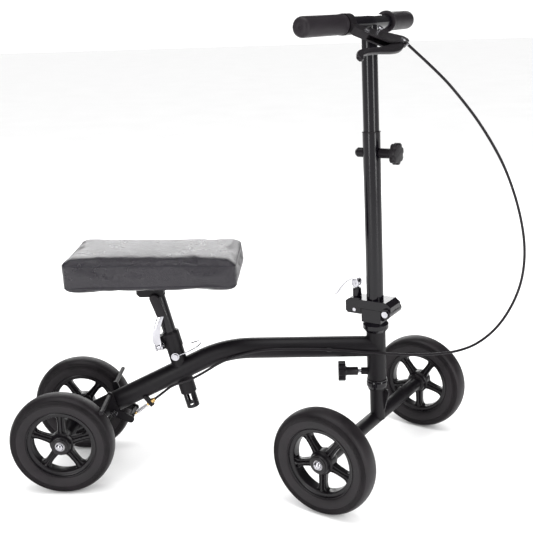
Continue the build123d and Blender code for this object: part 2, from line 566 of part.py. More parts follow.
lever_mid = on_lever(0, 0)
FERRULE_R = 3.4
FERRULE_LEN = 8.0
CABLE_OUT = (42.4, 10.6, 813.0)      # where the cable leaves the housing, from the steering axis
CABLE_DIR = (0.738, -0.029, -0.674)
cable_exit = at(chassis, CABLE_OUT, CABLE_DIR)
with BuildPart() as lever_housing:
    shell = [(-79.5, 4), (-79.5, 15), (-84, 16), (-80, 22), (-52, 45), (-30, 62), (40, 66), (46, 60), (42, 52),
             (-40, 22), (-61, 14), (-61, 4)]
    extrude(outline(lever_mid, shell), amount=7, both=True)
    # clamp ring with two ears behind the bar
    ring_start = at(bar_frame, bar_place(-1, 62), bar_half[-1])
    extrude(disc(ring_start, 18), amount=17.5)
    slot = [(33, 53), (33, 80), (-70, 80), (-70, 36), (-45, 36), (5, 50), (15, 53)]
    extrude(outline(lever_mid, slot), amount=4.2, both=True, mode=Mode.SUBTRACT)
    extrude(disc(at(bar_frame, bar_place(-1, 50), bar_half[-1]), BAR_R + FIT), amount=45, mode=Mode.SUBTRACT)
    extrude(disc(on_lever(*LEVER_PIVOT), 3 + FIT), amount=10, both=True, mode=Mode.SUBTRACT)
    extrude(disc(on_lever(-28, 34), 2.6), amount=10, both=True, mode=Mode.SUBTRACT)
    extrude(disc(on_lever(-58, 28), 2.5 + FIT), amount=10, both=True, mode=Mode.SUBTRACT)
    extrude(disc(cable_exit, FERRULE_R + FIT), amount=20, mode=Mode.SUBTRACT)
finish(lever_housing.part, "lever_housing")

with BuildPart() as lever_screws:
    # pivot screw and clamp screw, heads on the upper face
    for place, radius in ((LEVER_PIVOT, 3.0), ((-58, 28), 2.5)):
        extrude(disc(on_lever(*place), radius), amount=7, both=True)
        extrude(disc(on_lever(*place, height=-7, flip=True), radius + 2), amount=2)
finish(lever_screws.part, "lever_screws")

with BuildPart() as brake_lever:
    blade = [(25, 53.5), (31.5, 60), (27, 66.5), (-2, 78), (-30, 83), (-50, 83), (-90, 80), (-130, 79), (-152, 82),
             (-164, 90), (-170, 87), (-158, 74), (-146, 69), (-120, 66), (-88, 67), (-55, 68), (-20, 62)]
    extrude(outline(lever_mid, blade), amount=3.5, both=True)
    extrude(disc(on_lever(*LEVER_PIVOT), 6.5), amount=3.5, both=True)
    extrude(disc(on_lever(*LEVER_PIVOT), 3 + FIT), amount=10, both=True, mode=Mode.SUBTRACT)
finish(brake_lever.part, "brake_lever")

with BuildPart() as lock_pin:
    extrude(disc(on_lever(-28, 34, height=6, flip=True), 2.5), amount=20)
    extrude(disc(on_lever(-28, 34, height=-14, flip=True), 5), amount=2.5)
finish(lock_pin.part, "lock_pin")

with BuildPart() as cable_ferrule:
    extrude(disc(cable_exit, FERRULE_R), amount=FERRULE_LEN)
    extrude(disc(cable_exit, WIRE_R + FIT), amount=FERRULE_LEN, mode=Mode.SUBTRACT)
finish(cable_ferrule.part, "cable_ferrule")

# ---- brake cable --------------------------------------------------------------------------------
# corners of the cable's route, from the steering axis, from the lever back to the rear brake
ferrule_end = tuple(a + b * (FERRULE_LEN + GAP) for a, b in zip(CABLE_OUT, CABLE_DIR))
adjuster_back = tuple(a - b * 12 for a, b in zip(ADJUSTER, ADJUSTER_DIR))
cable_points = [
    ferrule_end, (104, 8, 757), (139, 7, 717), (175, 5, 671), (211, 3, 613), (233, 2, 566), (253, 0, 507),
    (265, -3, 445), (264, -5, 388), (250, -8, 339), (222, -12, 291), (185, -16, 259), (148, -19, 245),
    (106, -21, 240), (61, -23, 240), (18, -24, 243), (-27, -24.5, 247), (-72, -24.5, 252), (-121, -23.5, 255),
    (-171, -23, 256), (-220, -23, 255), (-262, -23, 247), (-303, -23, 232), (-337, -23, 210), (-367, -23, 194),
    (-400, -21, 184), (-420.4, -15, 165.2), adjuster_back]
# the runs in which one span ends and the next begins
CABLE_CUTS = {"cable_upper": (None, 5), "cable_middle": (5, 7), "cable_lower": (7, 17), "cable_frame": (17, None)}


def bend_radii(points):
    """Arcs that leave a tenth of the shorter run straight at each corner."""
    radii = []
    for before, corner, after in zip(points, points[1:], points[2:]):
        run_in = Vector(*corner) - Vector(*before)
        run_out = Vector(*after) - Vector(*corner)
        turn = math.radians(run_in.get_angle(run_out))
        radii.append(0.45 * min(run_in.length, run_out.length) / math.tan(turn / 2))
    return radii


def halfway(run):
    """The middle of one run of the cable."""
    return tuple((a + b) / 2 for a, b in zip(cable_points[run], cable_points[run + 1]))


cable_radii = bend_radii(cable_points)
print("cable bend radii", [round(radius) for radius in cable_radii])
for name, (first, last) in CABLE_CUTS.items():
    start = [cable_points[0]] if first is None else [halfway(first)]
    end = [cable_points[-1]] if last is None else [halfway(last)]
    low = 1 if first is None else first + 1
    high = len(cable_points) - 1 if last is None else last + 1
    with BuildPart() as span:
        span_path = route(chassis, start + cable_points[low:high] + end, cable_radii[low - 1:high - 1])
        sweep(disc(start_of(span_path), CABLE_R), path=span_path)
    length = sum(edge.length for edge in span_path.edges())
    print(name, round(length), round(span.part.volume / (math.pi * CABLE_R ** 2 * length), 4))
    finish(span.part, name)

clip_dir = tuple(b - a for a, b in zip(cable_points[17], cable_points[18]))
with BuildPart() as cable_clip:
    clip = at(chassis, halfway(17), clip_dir)
    extrude(disc(clip, 4), amount=4, both=True)
    extrude(disc(clip, CABLE_R + FIT), amount=4, both=True, mode=Mode.SUBTRACT)
finish(cable_clip.part, "cable_clip")


def on_wire(distance, flip=False):
    """A plane across the bare wire, by distance past the adjuster's lug."""
    place = tuple(a + b * distance for a, b in zip(ADJUSTER, ADJUSTER_DIR))
    direction = tuple(-part for part in ADJUSTER_DIR) if flip else ADJUSTER_DIR
    return at(chassis, place, direction)


with BuildPart() as cable_adjuster:
    extrude(disc(on_wire(-12), 3.5 - FIT), amount=19)
    extrude(hexagon(on_wire(-8.2), 9), amount=4)
    extrude(disc(on_wire(-12), WIRE_R + GAP), amount=19, mode=Mode.SUBTRACT)
finish(cable_adjuster.part, "cable_adjuster")

with BuildPart() as brake_wire:
    extrude(disc(on_wire(-11.9), WIRE_R), amount=56)
    extrude(disc(on_wire(38), 2.2), amount=5)
finish(brake_wire.part, "brake_wire")

with BuildPart() as brake_spring:
    # stand-in sleeve for the coil that pushes the yoke back
    extrude(disc(on_wire(8), 4.2), amount=29)
    extrude(disc(on_wire(8), 2.6), amount=29, mode=Mode.SUBTRACT)
finish(brake_spring.part, "brake_spring")

# ---- rear brake ---------------------------------------------------------------------------------
BRAKE_BAR_R = 4.0
BRAKE_GAP = 2.5
BRAKE_BAR_ANGLE = 39.0   # degrees above level, seen from the rear axle
YOKE_IN = 24.3
YOKE_T = 4.0
BRIDGE = (-485.0, 0, 116.0)
bar_reach = WHEEL_R + BRAKE_GAP + BRAKE_BAR_R
bar_rad = math.radians(BRAKE_BAR_ANGLE)
brake_bar = (REAR_X + bar_reach * math.cos(bar_rad), 0, WHEEL_R + bar_reach * math.sin(bar_rad))


def link(plane, first, first_r, second, second_r):
    """A flat link: two rounded ends and the straight edges between them."""
    with BuildSketch(plane) as sketch:
        with Locations(first):
            Circle(first_r)
        with Locations(second):
            Circle(second_r)
        make_hull()
    return sketch.sketch


with BuildPart() as brake_arm:
    pivot = (BRAKE_PIVOT[0], BRAKE_PIVOT[2])
    for face_y in (YOKE_IN + YOKE_T, -YOKE_IN):
        plate = at(chassis, (0, face_y, 0), (0, -1, 0), (1, 0, 0))
        extrude(link(plate, pivot, 9, (BRIDGE[0], BRIDGE[2]), 7), amount=YOKE_T)
        extrude(link(plate, pivot, 9, (brake_bar[0], brake_bar[2]), 6), amount=YOKE_T)
    extrude(disc(at(chassis, BRIDGE, (0, 1, 0)), 5), amount=YOKE_IN + 1, both=True)
    for side in (1, -1):
        start = (brake_bar[0], side * YOKE_IN, brake_bar[2])
        reach = REAR_TRACK + TYRE_W / 2 - 2 - YOKE_IN
        extrude(disc(at(chassis, start, (0, side, 0)), BRAKE_BAR_R), amount=reach)
    extrude(disc(at(chassis, BRAKE_PIVOT, (0, 1, 0)), 4 + FIT), amount=40, both=True, mode=Mode.SUBTRACT)
    extrude(disc(on_wire(-12), 3.5), amount=60, mode=Mode.SUBTRACT)
finish(brake_arm.part, "brake_arm")

with BuildPart() as brake_pivot_bolt:
    bolt_half = YOKE_IN + YOKE_T + GAP
    extrude(disc(at(chassis, BRAKE_PIVOT, (0, 1, 0)), 4), amount=bolt_half, both=True)
    for side in (1, -1):
        place = (BRAKE_PIVOT[0], side * bolt_half, BRAKE_PIVOT[2])
        extrude(hexagon(at(chassis, place, (0, side, 0)), 11), amount=4.5)
finish(brake_pivot_bolt.part, "brake_pivot_bolt")

# ---- seat ---------------------------------------------------------------------------------------
SLOT_W = 8.4
BRACKET_TOP = SEAT_LOW
with BuildPart() as seat_post:
    extrude(disc(at(post, (0, 0, POST_START)), POST_R), amount=POST_END - POST_START)
    extrude(disc(at(post, (0, 0, POST_START)), POST_R - POST_WALL), amount=POST_END - POST_START, mode=Mode.SUBTRACT)
    # slot that lets the post slide past its snap pin
    slot_low, slot_high = PIN_S - 108, PIN_S + 28
    slot = slab(at(post, (0, 0, (slot_low + slot_high) / 2), (0, 1, 0), (0, 0, 1)), slot_high - slot_low, SLOT_W, 4.1)
    extrude(slot, amount=20, both=True, mode=Mode.SUBTRACT)
finish(seat_post.part, "seat_post")

with BuildPart() as seat_bracket:
    # folded channel under the seat, with a top plate and a welded socket for the post
    for side in (1, -1):
        plate = at(chassis, (0, 17 if side == 1 else -14, 0), (0, -1, 0), (1, 0, 0))
        extrude(outline(plate, [(-457, 368), (-451, 362), (-409, 362), (-405, 368), (-405, 394), (-457, 394)]), amount=3)
    extrude(slab(at(chassis, (SEAT_MID_X, 0, BRACKET_TOP), (0, 0, -1)), 130, 84, 8), amount=3)
    extrude(disc(at(post, (0, 0, 226)), 14.5), amount=32)
    extrude(disc(at(post, (0, 0, 220)), POST_R + FIT), amount=POST_END - 220 + GAP, mode=Mode.SUBTRACT)
    screw_places = [(SEAT_MID_X + x, y) for x in (-52, 52) for y in (-32, 32)]
    for x, y in screw_places:
        extrude(disc(at(chassis, (x, y, BRACKET_TOP - 5)), 3 + FIT), amount=8, mode=Mode.SUBTRACT)
finish(seat_bracket.part, "seat_bracket")

with BuildPart() as seat_board:
    extrude(slab(at(chassis, (SEAT_MID_X, 0, BRACKET_TOP)), SEAT_LEN - 24, SEAT_WIDTH - 24, 20), amount=BOARD_T)
    for x, y in screw_places:
        extrude(disc(at(chassis, (x, y, BRACKET_TOP)), 3 + FIT), amount=BOARD_T - 1, mode=Mode.SUBTRACT)
finish(seat_board.part, "seat_board")

with BuildPart() as seat_pad:
    low = BRACKET_TOP + 1
    extrude(slab(at(chassis, (SEAT_MID_X, 0, low)), SEAT_LEN, SEAT_WIDTH, 24), amount=SEAT_TOP - low)
    fillet(seat_pad.edges().group_by(Axis.Z)[-1], 12)
    board = slab(at(chassis, (SEAT_MID_X, 0, low)), SEAT_LEN - 24 + 2 * FIT, SEAT_WIDTH - 24 + 2 * FIT, 20)
    extrude(board, amount=BOARD_T - 1, mode=Mode.SUBTRACT)
finish(seat_pad.part, "seat_pad")

with BuildPart() as seat_screws:
    for x, y in screw_places:
        extrude(disc(at(chassis, (x, y, BRACKET_TOP - 3), (0, 0, -1)), 5.5), amount=3)
        extrude(disc(at(chassis, (x, y, BRACKET_TOP - 3.5)), 3), amount=10)
finish(seat_screws.part, "seat_screws")

# clamp lever: its bolt crosses the collar's ears and its cam turns about a pin across the bolt
LEVER_S = SLEEVE_END - 30 + 12
LEVER_X = -24.0
LEVER_Y = -21.0
lever_hinge = at(post, (LEVER_X, LEVER_Y, LEVER_S), (1, 0, 0), (0, 0, 1))
with BuildPart() as seat_lever_bolt:
    extrude(disc(at(post, (LEVER_X, LEVER_Y, LEVER_S), (0, 1, 0)), 3), amount=38)
    extrude(hexagon(at(post, (LEVER_X, 9 + GAP, LEVER_S), (0, 1, 0)), 10), amount=5)
    extrude(disc(at(post, (LEVER_X, -9 - GAP, LEVER_S), (0, -1, 0)), 8), amount=2)
    extrude(disc(lever_hinge, 5), amount=3.5, both=True)
    extrude(disc(lever_hinge, 2.5), amount=8.5, both=True)
finish(seat_lever_bolt.part, "seat_lever_bolt")

with BuildPart() as seat_lever:
    extrude(disc(lever_hinge, 7.5), amount=7.75, both=True)
    extrude(disc(lever_hinge, 7.7), amount=3.8, both=True, mode=Mode.SUBTRACT)
    # the blade lies in a plane beside the post
    blade_face = at(post, (0, LEVER_Y + 1, 0), (0, -1, 0), (1, 0, 0))
    blade = [(LEVER_X - 7.75, LEVER_S + 5), (LEVER_X + 7.75, LEVER_S + 5), (-10, 165), (9.5, 196), (-6, 199),
             (-22, 170)]
    extrude(outline(blade_face, blade), amount=2.5)
    extrude(disc(lever_hinge, 2.5 + FIT), amount=9, both=True, mode=Mode.SUBTRACT)
    extrude(disc(lever_hinge, 5.3), amount=3.8, both=True, mode=Mode.SUBTRACT)
finish(seat_lever.part, "seat_lever")

with BuildPart() as seat_lever_grip:
    grip_face = at(post, (0, LEVER_Y + 2.5, 0), (0, -1, 0), (1, 0, 0))
    extrude(outline(grip_face, [(-8, 192), (10.5, 190), (5, 232), (1, 236), (-9, 236), (-13, 232)]), amount=6.5)
    inside = at(post, (0, LEVER_Y + 1 + FIT, 0), (0, -1, 0), (1, 0, 0))
    extrude(outline(inside, [(-25, 150), (20, 150), (20, 200), (-25, 200)]), amount=2.5 + 2 * FIT, mode=Mode.SUBTRACT)
finish(seat_lever_grip.part, "seat_lever_grip")

PIN_HEAD_R = 5.2
with BuildPart() as snap_pin:
    head = SLEEVE_R + GAP + 0.2
    extrude(disc(at(post, (0, -head, PIN_S), (0, 1, 0)), PIN_R), amount=head + SLEEVE_R + 4)
    extrude(disc(at(post, (0, -head, PIN_S), (0, -1, 0)), PIN_HEAD_R), amount=6.5)
finish(snap_pin.part, "snap_pin")

BAIL_R = 1.2
BAIL_TILT = 10.0
tilt = math.radians(BAIL_TILT)
bail_shape = [(6.5, -19.5), (25, -23), (47, -16), (54, 2), (46, 18), (28, 23)]
bail_points = [(x * math.cos(tilt), y, PIN_S + x * math.sin(tilt)) for x, y in bail_shape]
with BuildPart() as pin_bail:
    # wire loop round the front of the sleeve, hinged on the pin's head by a ring
    bail_path = route(post, bail_points, bend_radii(bail_points))
    sweep(disc(start_of(bail_path), BAIL_R), path=bail_path)
    ring = at(post, (0, -19.5, PIN_S), (0, 1, 0))
    extrude(disc(ring, PIN_HEAD_R + 2.6), amount=BAIL_R, both=True)
    extrude(disc(ring, PIN_HEAD_R + 0.3), amount=5, both=True, mode=Mode.SUBTRACT)
finish(pin_bail.part, "pin_bail")
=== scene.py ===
"""Knee scooter: the finished surfaces of every piece, over the scooter's measured frame."""
import math

import bmesh
import bpy
from mathutils import Matrix, Vector
from mathutils.bvhtree import BVHTree


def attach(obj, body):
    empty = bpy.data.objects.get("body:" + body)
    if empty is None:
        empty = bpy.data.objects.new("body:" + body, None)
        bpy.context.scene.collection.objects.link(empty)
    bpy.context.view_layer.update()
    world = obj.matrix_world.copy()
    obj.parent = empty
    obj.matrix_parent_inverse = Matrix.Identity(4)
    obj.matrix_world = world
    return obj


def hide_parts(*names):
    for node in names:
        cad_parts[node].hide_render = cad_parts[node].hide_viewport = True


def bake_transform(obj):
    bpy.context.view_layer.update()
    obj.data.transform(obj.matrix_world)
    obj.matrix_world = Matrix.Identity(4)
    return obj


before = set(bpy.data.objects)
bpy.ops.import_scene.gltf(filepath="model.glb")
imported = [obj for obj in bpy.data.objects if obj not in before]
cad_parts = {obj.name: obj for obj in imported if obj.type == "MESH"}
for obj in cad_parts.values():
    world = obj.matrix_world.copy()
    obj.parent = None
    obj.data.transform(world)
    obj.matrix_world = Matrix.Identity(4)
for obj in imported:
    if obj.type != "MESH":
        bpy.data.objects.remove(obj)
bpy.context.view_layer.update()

bl_info = {
    "name": "Knee Scooter",
    "version": (1, 0, 0),
    "blender": (4, 5, 0),
    "location": "View3D > Sidebar > Scooter",
    "description": "Builds the finished pieces of a folding knee scooter with a cushioned knee rest",
    "category": "Object",
}

MM = 0.001
# ---- the scooter's own sizes, millimetres and degrees --------------------------------------------
# the steering axis meets the floor at STEER_X and MID_Y, leans back by RAKE and is turned by STEER_ANGLE
STEER_X, MID_Y, RAKE, STEER_ANGLE = 218.76, -3.76, 1.4, 31.5
WHEEL_R, HUB_HALF, SPOKES = 100.0, 21.0, 5
# each axle's place, the rear one from the steering axis and the front one in the fork; a track is half the
# distance between its two wheels
REAR_X, REAR_TRACK, FRONT_X, FRONT_TRACK = -604.6, 88.4, -7.2, 203.6
# the bar's height along the steering axis, its half-length, and how far its ends sweep back
BAR_Z, BAR_HALF, BAR_SWEEP, GRIP_LEN, BAR_R = 847.0, 197.0, 6.0, 116.0, 12.7
# the cam lever's pivot on the folding joint
SWING_X, CAM_Z = -38.0, 372.5
# the outer face of each star knob, on the stem and on the frame
HEIGHT_KNOB, TENSION_KNOB = (54.0, 0.0, 622.0), (-79.0, 0.0, 199.5)
# the seat post's lean and foot, and its clamp lever's pivot: forward, sideways and up the post
POST_LEAN, POST_BASE = 13.5, (-366.0, 0.0, 140.0)
CLAMP_X, CLAMP_Y, CLAMP_S = -24.0, -21.0, 132.0
SEAT_MID_X, SEAT_LEN, SEAT_WIDTH, SEAT_LOW, SEAT_TOP = -419.0, 314.0, 172.0, 397.0, 449.0
SEAT_CORNER, LEAST_CORNER = 11.0, 5.0
# how far the brake lever points below level
REACH_DROP = 35.0
CABLE_R = 2.5
ADJUSTER, ADJUSTER_DIR = (-446.0, -15.0, 146.0), (-0.80, 0.0, -0.60)
# how far the cut cover stands past the pad before the stuffing draws it in
COVER_EASE = 4.5
COVER_VOXEL, STUFFING_PRESSURE, STUFFING_FRAMES = 4.2, 4, 20
# how deep the piping sits in the cover, and each piping's name, inset and height
PIPING_SUNK = 0.3
PIPINGS = [("seat_piping_top", 0.8, 442.6), ("seat_piping_low", 1.0, 401.0)]
# nearly all of a noise field lies between these values
CLOUD_LOW, CLOUD_HIGH = 0.3, 0.7

# ---- the studio ----------------------------------------------------------------------------------
# how bright the studio is, and how bright it is in reflections
WORLD_LEVEL, WORLD_IN_GLOSS = 1.18, 0.12
AIM = (0.15, 0, 0.4)
# each softbox, metres and watts: name, place, what it is turned to, size, power
SOFTBOXES = [
    ("soft_left", (-1.3, -1.9, 1.0), AIM, (0.5, 1.8), 24),
    ("soft_right", (1.7, -1.5, 1.0), AIM, (0.5, 1.8), 24),
    ("soft_back", (-0.3, 3.0, 1.1), AIM, (3.2, 1.0), 50),
    ("soft_top", (-0.1, -0.2, 2.6), (0, 0, 0), (2.2, 1.4), 36),
]
# the camera's place in millimetres, how it is turned in degrees, and its lens
CAMERA_PLACE = (STEER_X - 135.05, MID_Y - 1589.17, 879.20)
CAMERA_YAW, CAMERA_PITCH, CAMERA_ROLL = -2.740, -16.337, -1.897
CAMERA_LENS, CAMERA_SENSOR = 59.83, 36.0


# ---- frames of reference -------------------------------------------------------------------------
def axes(origin, x_dir, z_dir):
    """A place with its own forward and up directions, as a matrix in metres."""
    x, z = Vector(x_dir).normalized(), Vector(z_dir).normalized()
    y = z.cross(x)
    turn = Matrix((x, y, z)).transposed().to_4x4()
    return Matrix.Translation(Vector(origin) * MM) @ turn


def inside(place, origin=(0, 0, 0), x_dir=(1, 0, 0), z_dir=(0, 0, 1)):
    """A place set inside another one."""
    return place @ axes(origin, x_dir, z_dir)


def spot(place, point):
    """A point of a place, in the scooter's own metres."""
    return place @ (Vector(point) * MM)


rake, steer = math.radians(RAKE), math.radians(-STEER_ANGLE)
FOOT = (STEER_X, MID_Y, 0)
CHASSIS = axes(FOOT, (1, 0, 0), (0, 0, 1))
FRONT = axes(FOOT, (math.cos(steer), math.sin(steer), 0), (0, 0, 1))
steer_axis = Vector((-math.sin(rake), 0, math.cos(rake)))
steer_forward = Matrix.Rotation(steer, 3, steer_axis) @ Vector((math.cos(rake), 0, math.sin(rake)))
COLUMN = axes(FOOT, steer_forward, steer_axis)
BAR = axes(spot(COLUMN, (0, 0, BAR_Z)) / MM, FRONT.to_3x3() @ Vector((1, 0, 0)), (0, 0, 1))
lean, drop = math.radians(POST_LEAN), math.radians(REACH_DROP)
POST = axes(spot(CHASSIS, POST_BASE) / MM, (math.cos(lean), 0, math.sin(lean)),
            (-math.sin(lean), 0, math.cos(lean)))
BRAKE_LEVER = inside(BAR, (0, 0, 0), (0, 1, 0), (-math.sin(drop), 0, -math.cos(drop)))
# each wheel: what carries it, its middle, its side (1 for the left), and the angle of its first spoke
WHEELS = {
    "rear_wheel_left": (CHASSIS, (REAR_X, REAR_TRACK, WHEEL_R), 1, 50.0),
    "rear_wheel_right": (CHASSIS, (REAR_X, -REAR_TRACK, WHEEL_R), -1, 88.0),
    "front_wheel_left": (FRONT, (FRONT_X, FRONT_TRACK, WHEEL_R), 1, 129.0),
    "front_wheel_right": (FRONT, (FRONT_X, -FRONT_TRACK, WHEEL_R), -1, 125.0),
}


def wheel_place(which):
    """A wheel's middle: Z outwards along its axle, X towards its first spoke."""
    base, middle, side, first = WHEELS[which]
    angle = math.radians(first)
    return inside(base, middle, (math.cos(angle), 0, math.sin(angle)), (0, side, 0))


# ---- meshes --------------------------------------------------------------------------------------
def add_object(name, data):
    """A new object in the scene."""
    obj = bpy.data.objects.new(name, data)
    bpy.context.scene.collection.objects.link(obj)
    return obj


def from_points(name, points, faces, edges=()):
    """A mesh object from points in millimetres."""
    mesh = bpy.data.meshes.new(name)
    mesh.from_pydata([Vector(p) * MM for p in points], edges, faces)
    return add_object(name, mesh)


def settle(obj, place=None, merge=0.0, outwards=False, crease=40.0):
    """Applies an object's modifiers or curve settings and its place, and shades it."""
    bpy.context.view_layer.update()
    graph = bpy.context.evaluated_depsgraph_get()
    mesh = bpy.data.meshes.new_from_object(obj.evaluated_get(graph))
    name = obj.name
    bpy.data.objects.remove(obj)
    work = bmesh.new()
    work.from_mesh(mesh)
    if merge:
        bmesh.ops.remove_doubles(work, verts=work.verts, dist=merge * MM)
    if outwards:
        bmesh.ops.recalc_face_normals(work, faces=work.faces)
    if place is not None:
        work.transform(place)
    work.to_mesh(mesh)
    work.free()
    mesh.materials.clear()
    mesh.shade_smooth()
    mesh.set_sharp_from_angle(angle=math.radians(crease))
    done = add_object(name, mesh)
    done.data.name = name
    return done


def turned(name, profile, place, steps=96, crease=35.0, closed=False):
    """A shape turned about its own Z from (radius, height) points that run from top to bottom."""
    edges = [(i, i + 1) for i in range(len(profile) - 1)]
    if closed:
        edges.append((len(profile) - 1, 0))
    obj = from_points(name, [(radius, 0, height) for radius, height in profile], [], edges)
    screw = obj.modifiers.new("turn", "SCREW")
    screw.steps = screw.render_steps = steps
    screw.use_merge_vertices = True
    screw.merge_threshold = 0.01 * MM
    return settle(obj, place, merge=0.01, outwards=True, crease=crease)


def both_sides(half):
    """A wheel part's whole section as a closed outline, from the half on one side of its middle."""
    return half + [(radius, -wide) for radius, wide in reversed(half[:-1])]


def lofted(name, rings):
    """A closed shape through rings of points, all of one count, with both of its ends capped."""
    count, last = len(rings[0]), len(rings) - 1
    faces = []
    for row in range(last):
        for i in range(count):
            a, b = row * count + i, row * count + (i + 1) % count
            faces.append((a, b, b + count, a + count))
    faces.append(tuple(reversed(range(count))))
    faces.append(tuple(range(last * count, last * count + count)))
    return from_points(name, [point for ring in rings for point in ring], faces)


def rounded(points, radius, steps=4):
    """A closed outline with every corner rounded."""
    out = []
    count = len(points)
    for i, corner in enumerate(points):
        here = Vector(corner)
        back, ahead = Vector(points[i - 1]) - here, Vector(points[(i + 1) % count]) - here
        cut = min(radius, back.length * 0.45, ahead.length * 0.45)
        start, end = here + back.normalized() * cut, here + ahead.normalized() * cut
        for k in range(steps + 1):
            t = k / steps
            out.append(tuple(start * (1 - t) ** 2 + here * 2 * t * (1 - t) + end * t ** 2))
    return out


def edged(obj, bevel, segments):
    """Bevels an object's sharp edges."""
    edge = obj.modifiers.new("edges", "BEVEL")
    edge.width = bevel * MM
    edge.segments = segments
    edge.limit_method = "ANGLE"
    edge.angle_limit = math.radians(50)


def plate(name, outline, thick, place, bevel=0.8, segments=3, crease=40.0):
    """A plate cut to an outline on its place's X and Y, with bevelled edges."""
    obj = from_points(name, [(x, y, -thick / 2) for x, y in outline], [tuple(range(len(outline)))])
    solid = obj.modifiers.new("thickness", "SOLIDIFY")
    solid.thickness = thick * MM
    # the outline's turning sense says which way its face looks, and the wall always rises in Z
    area = sum(a[0] * b[1] - a[1] * b[0] for a, b in zip(outline, outline[1:] + outline[:1]))
    solid.offset = 1 if area > 0 else -1
    edged(obj, bevel, segments)
    return settle(obj, place, outwards=True, crease=crease)


def wire(name, points, radius, place, cyclic=False, resolution=10, sides=5):
    """A round wire, cable or piping along a smooth line through a place's points."""
    curve = bpy.data.curves.new(name, "CURVE")
    curve.dimensions = "3D"
    curve.bevel_depth = radius * MM
    curve.bevel_resolution = sides
    curve.resolution_u = curve.render_resolution_u = resolution
    curve.use_fill_caps = not cyclic
    line = curve.splines.new("NURBS")
    line.points.add(len(points) - 1)
    for knot, point in zip(line.points, points):
        knot.co = (*(Vector(point) * MM), 1)
    line.order_u = 3
    line.use_cyclic_u = cyclic
    line.use_endpoint_u = not cyclic
    return settle(add_object(name, curve), place, merge=0.001, outwards=True, crease=60)


def joined(name, parts):
    """Several finished meshes as one piece."""
    work = bmesh.new()
    for part in parts:
        work.from_mesh(part.data)
        mesh = part.data
        bpy.data.objects.remove(part)
        bpy.data.meshes.remove(mesh)
    mesh = bpy.data.meshes.new(name)
    work.to_mesh(mesh)
    work.free()
    mesh.shade_smooth()
    mesh.set_sharp_from_angle(angle=math.radians(40))
    return add_object(name, mesh)


# ---- materials -----------------------------------------------------------------------------------
class Field:
    """A value that varies over a surface; sums and products of fields add Math nodes."""

    def __init__(self, paint, socket):
        self.paint, self.socket = paint, socket

    def blend(self, kind, first, second):
        """The Math node that works out a kind of sum on two values or fields."""
        return self.paint.add("ShaderNodeMath", {"operation": kind}, {0: first, 1: second})

    def __add__(self, other):
        return self.blend("ADD", self, other)

    def __radd__(self, other):
        return self.blend("ADD", other, self)

    def __mul__(self, other):
        return self.blend("MULTIPLY", self, other)

    def __rmul__(self, other):
        return self.blend("MULTIPLY", other, self)


class Paint:
    """One material and the nodes that give its pattern."""

    def __init__(self, name, slot):
        self.material = bpy.data.materials.new(name)
        self.material.use_nodes = True
        self.tree = self.material.node_tree
        self.shader = self.tree.nodes["Principled BSDF"]
        self.slot = slot
        self.place = self.add("ShaderNodeTexCoord", {}, {}, "Object")

    def add(self, kind, settings, sockets, out=0):
        """Adds a node of any kind, with its settings first and then its sockets."""
        node = self.tree.nodes.new(kind)
        for key, value in settings.items():
            setattr(node, key, value)
        for key, value in sockets.items():
            self.put(node.inputs[key], value)
        return Field(self, node.outputs[out])

    def put(self, socket, value):
        """Links a field to a socket, or sets the socket's own value."""
        if isinstance(value, Field):
            self.tree.links.new(value.socket, socket)
        elif socket.type == "RGBA":
            socket.default_value = (*value, 1)
        else:
            socket.default_value = value

    def stretched(self, stretch):
        """The surface's own position, stretched."""
        return self.add("ShaderNodeMapping", {}, {"Vector": self.place, "Scale": stretch})

    def noise(self, scale, detail=3.0, at=None, distort=0.0):
        """Soft clouds, so many to a metre."""
        return self.add("ShaderNodeTexNoise", {}, {
            "Vector": at or self.place, "Scale": scale, "Detail": detail, "Roughness": 0.55,
            "Distortion": distort})

    def cells(self, scale, feature="F1"):
        """Pebbles, so many to a metre."""
        return self.add("ShaderNodeTexVoronoi", {"feature": feature}, {"Vector": self.place, "Scale": scale})

    def steps(self, field, low, high, start=0.0, end=1.0):
        """A field brought from one range to another, and held within it."""
        return self.add("ShaderNodeMapRange", {}, {"Value": field, "From Min": low, "From Max": high,
                                                   "To Min": start, "To Max": end})

    def sheen(self, field, smooth, rough):
        """Roughness that follows a field's clouds."""
        return self.steps(field, CLOUD_LOW, CLOUD_HIGH, smooth, rough)

    def tones(self, field, dark, light):
        """A colour that goes from dark to light with a field."""
        return self.add("ShaderNodeMix", {"data_type": "RGBA"}, {0: field, 6: dark, 7: light}, 2)

    def finish(self, color, rough, height, depth, edge=0.0, metallic=0.0, specular=0.22):
        """Puts colour, roughness and relief on the shader, and rounds the edges in the shading."""
        self.put(self.shader.inputs["Base Color"], color)
        self.put(self.shader.inputs["Roughness"], rough)
        self.shader.inputs["Metallic"].default_value = metallic
        self.shader.inputs["Specular IOR Level"].default_value = specular
        relief = {"Height": height, "Distance": depth}
        if edge:
            relief["Normal"] = self.add("ShaderNodeBevel", {"samples": 4}, {"Radius": edge * MM})
        self.put(self.shader.inputs["Normal"], self.add("ShaderNodeBump", {}, relief))


def tyre_rubber(paint):
    """Matt black rubber, mottled and a little dusty."""
    mottle, dust, pores = paint.noise(38, 5), paint.noise(9, 4), paint.noise(1500, 2)
    patches = paint.steps(mottle * 0.6 + dust * 0.4, 0.32, 0.68)
    paint.finish(paint.tones(patches, (0.004, 0.003, 0.004), (0.013, 0.0095, 0.012)),
                 paint.sheen(mottle, 0.44, 0.58),
                 pores * 0.6 + mottle * 0.6, 0.00016, specular=0.3)


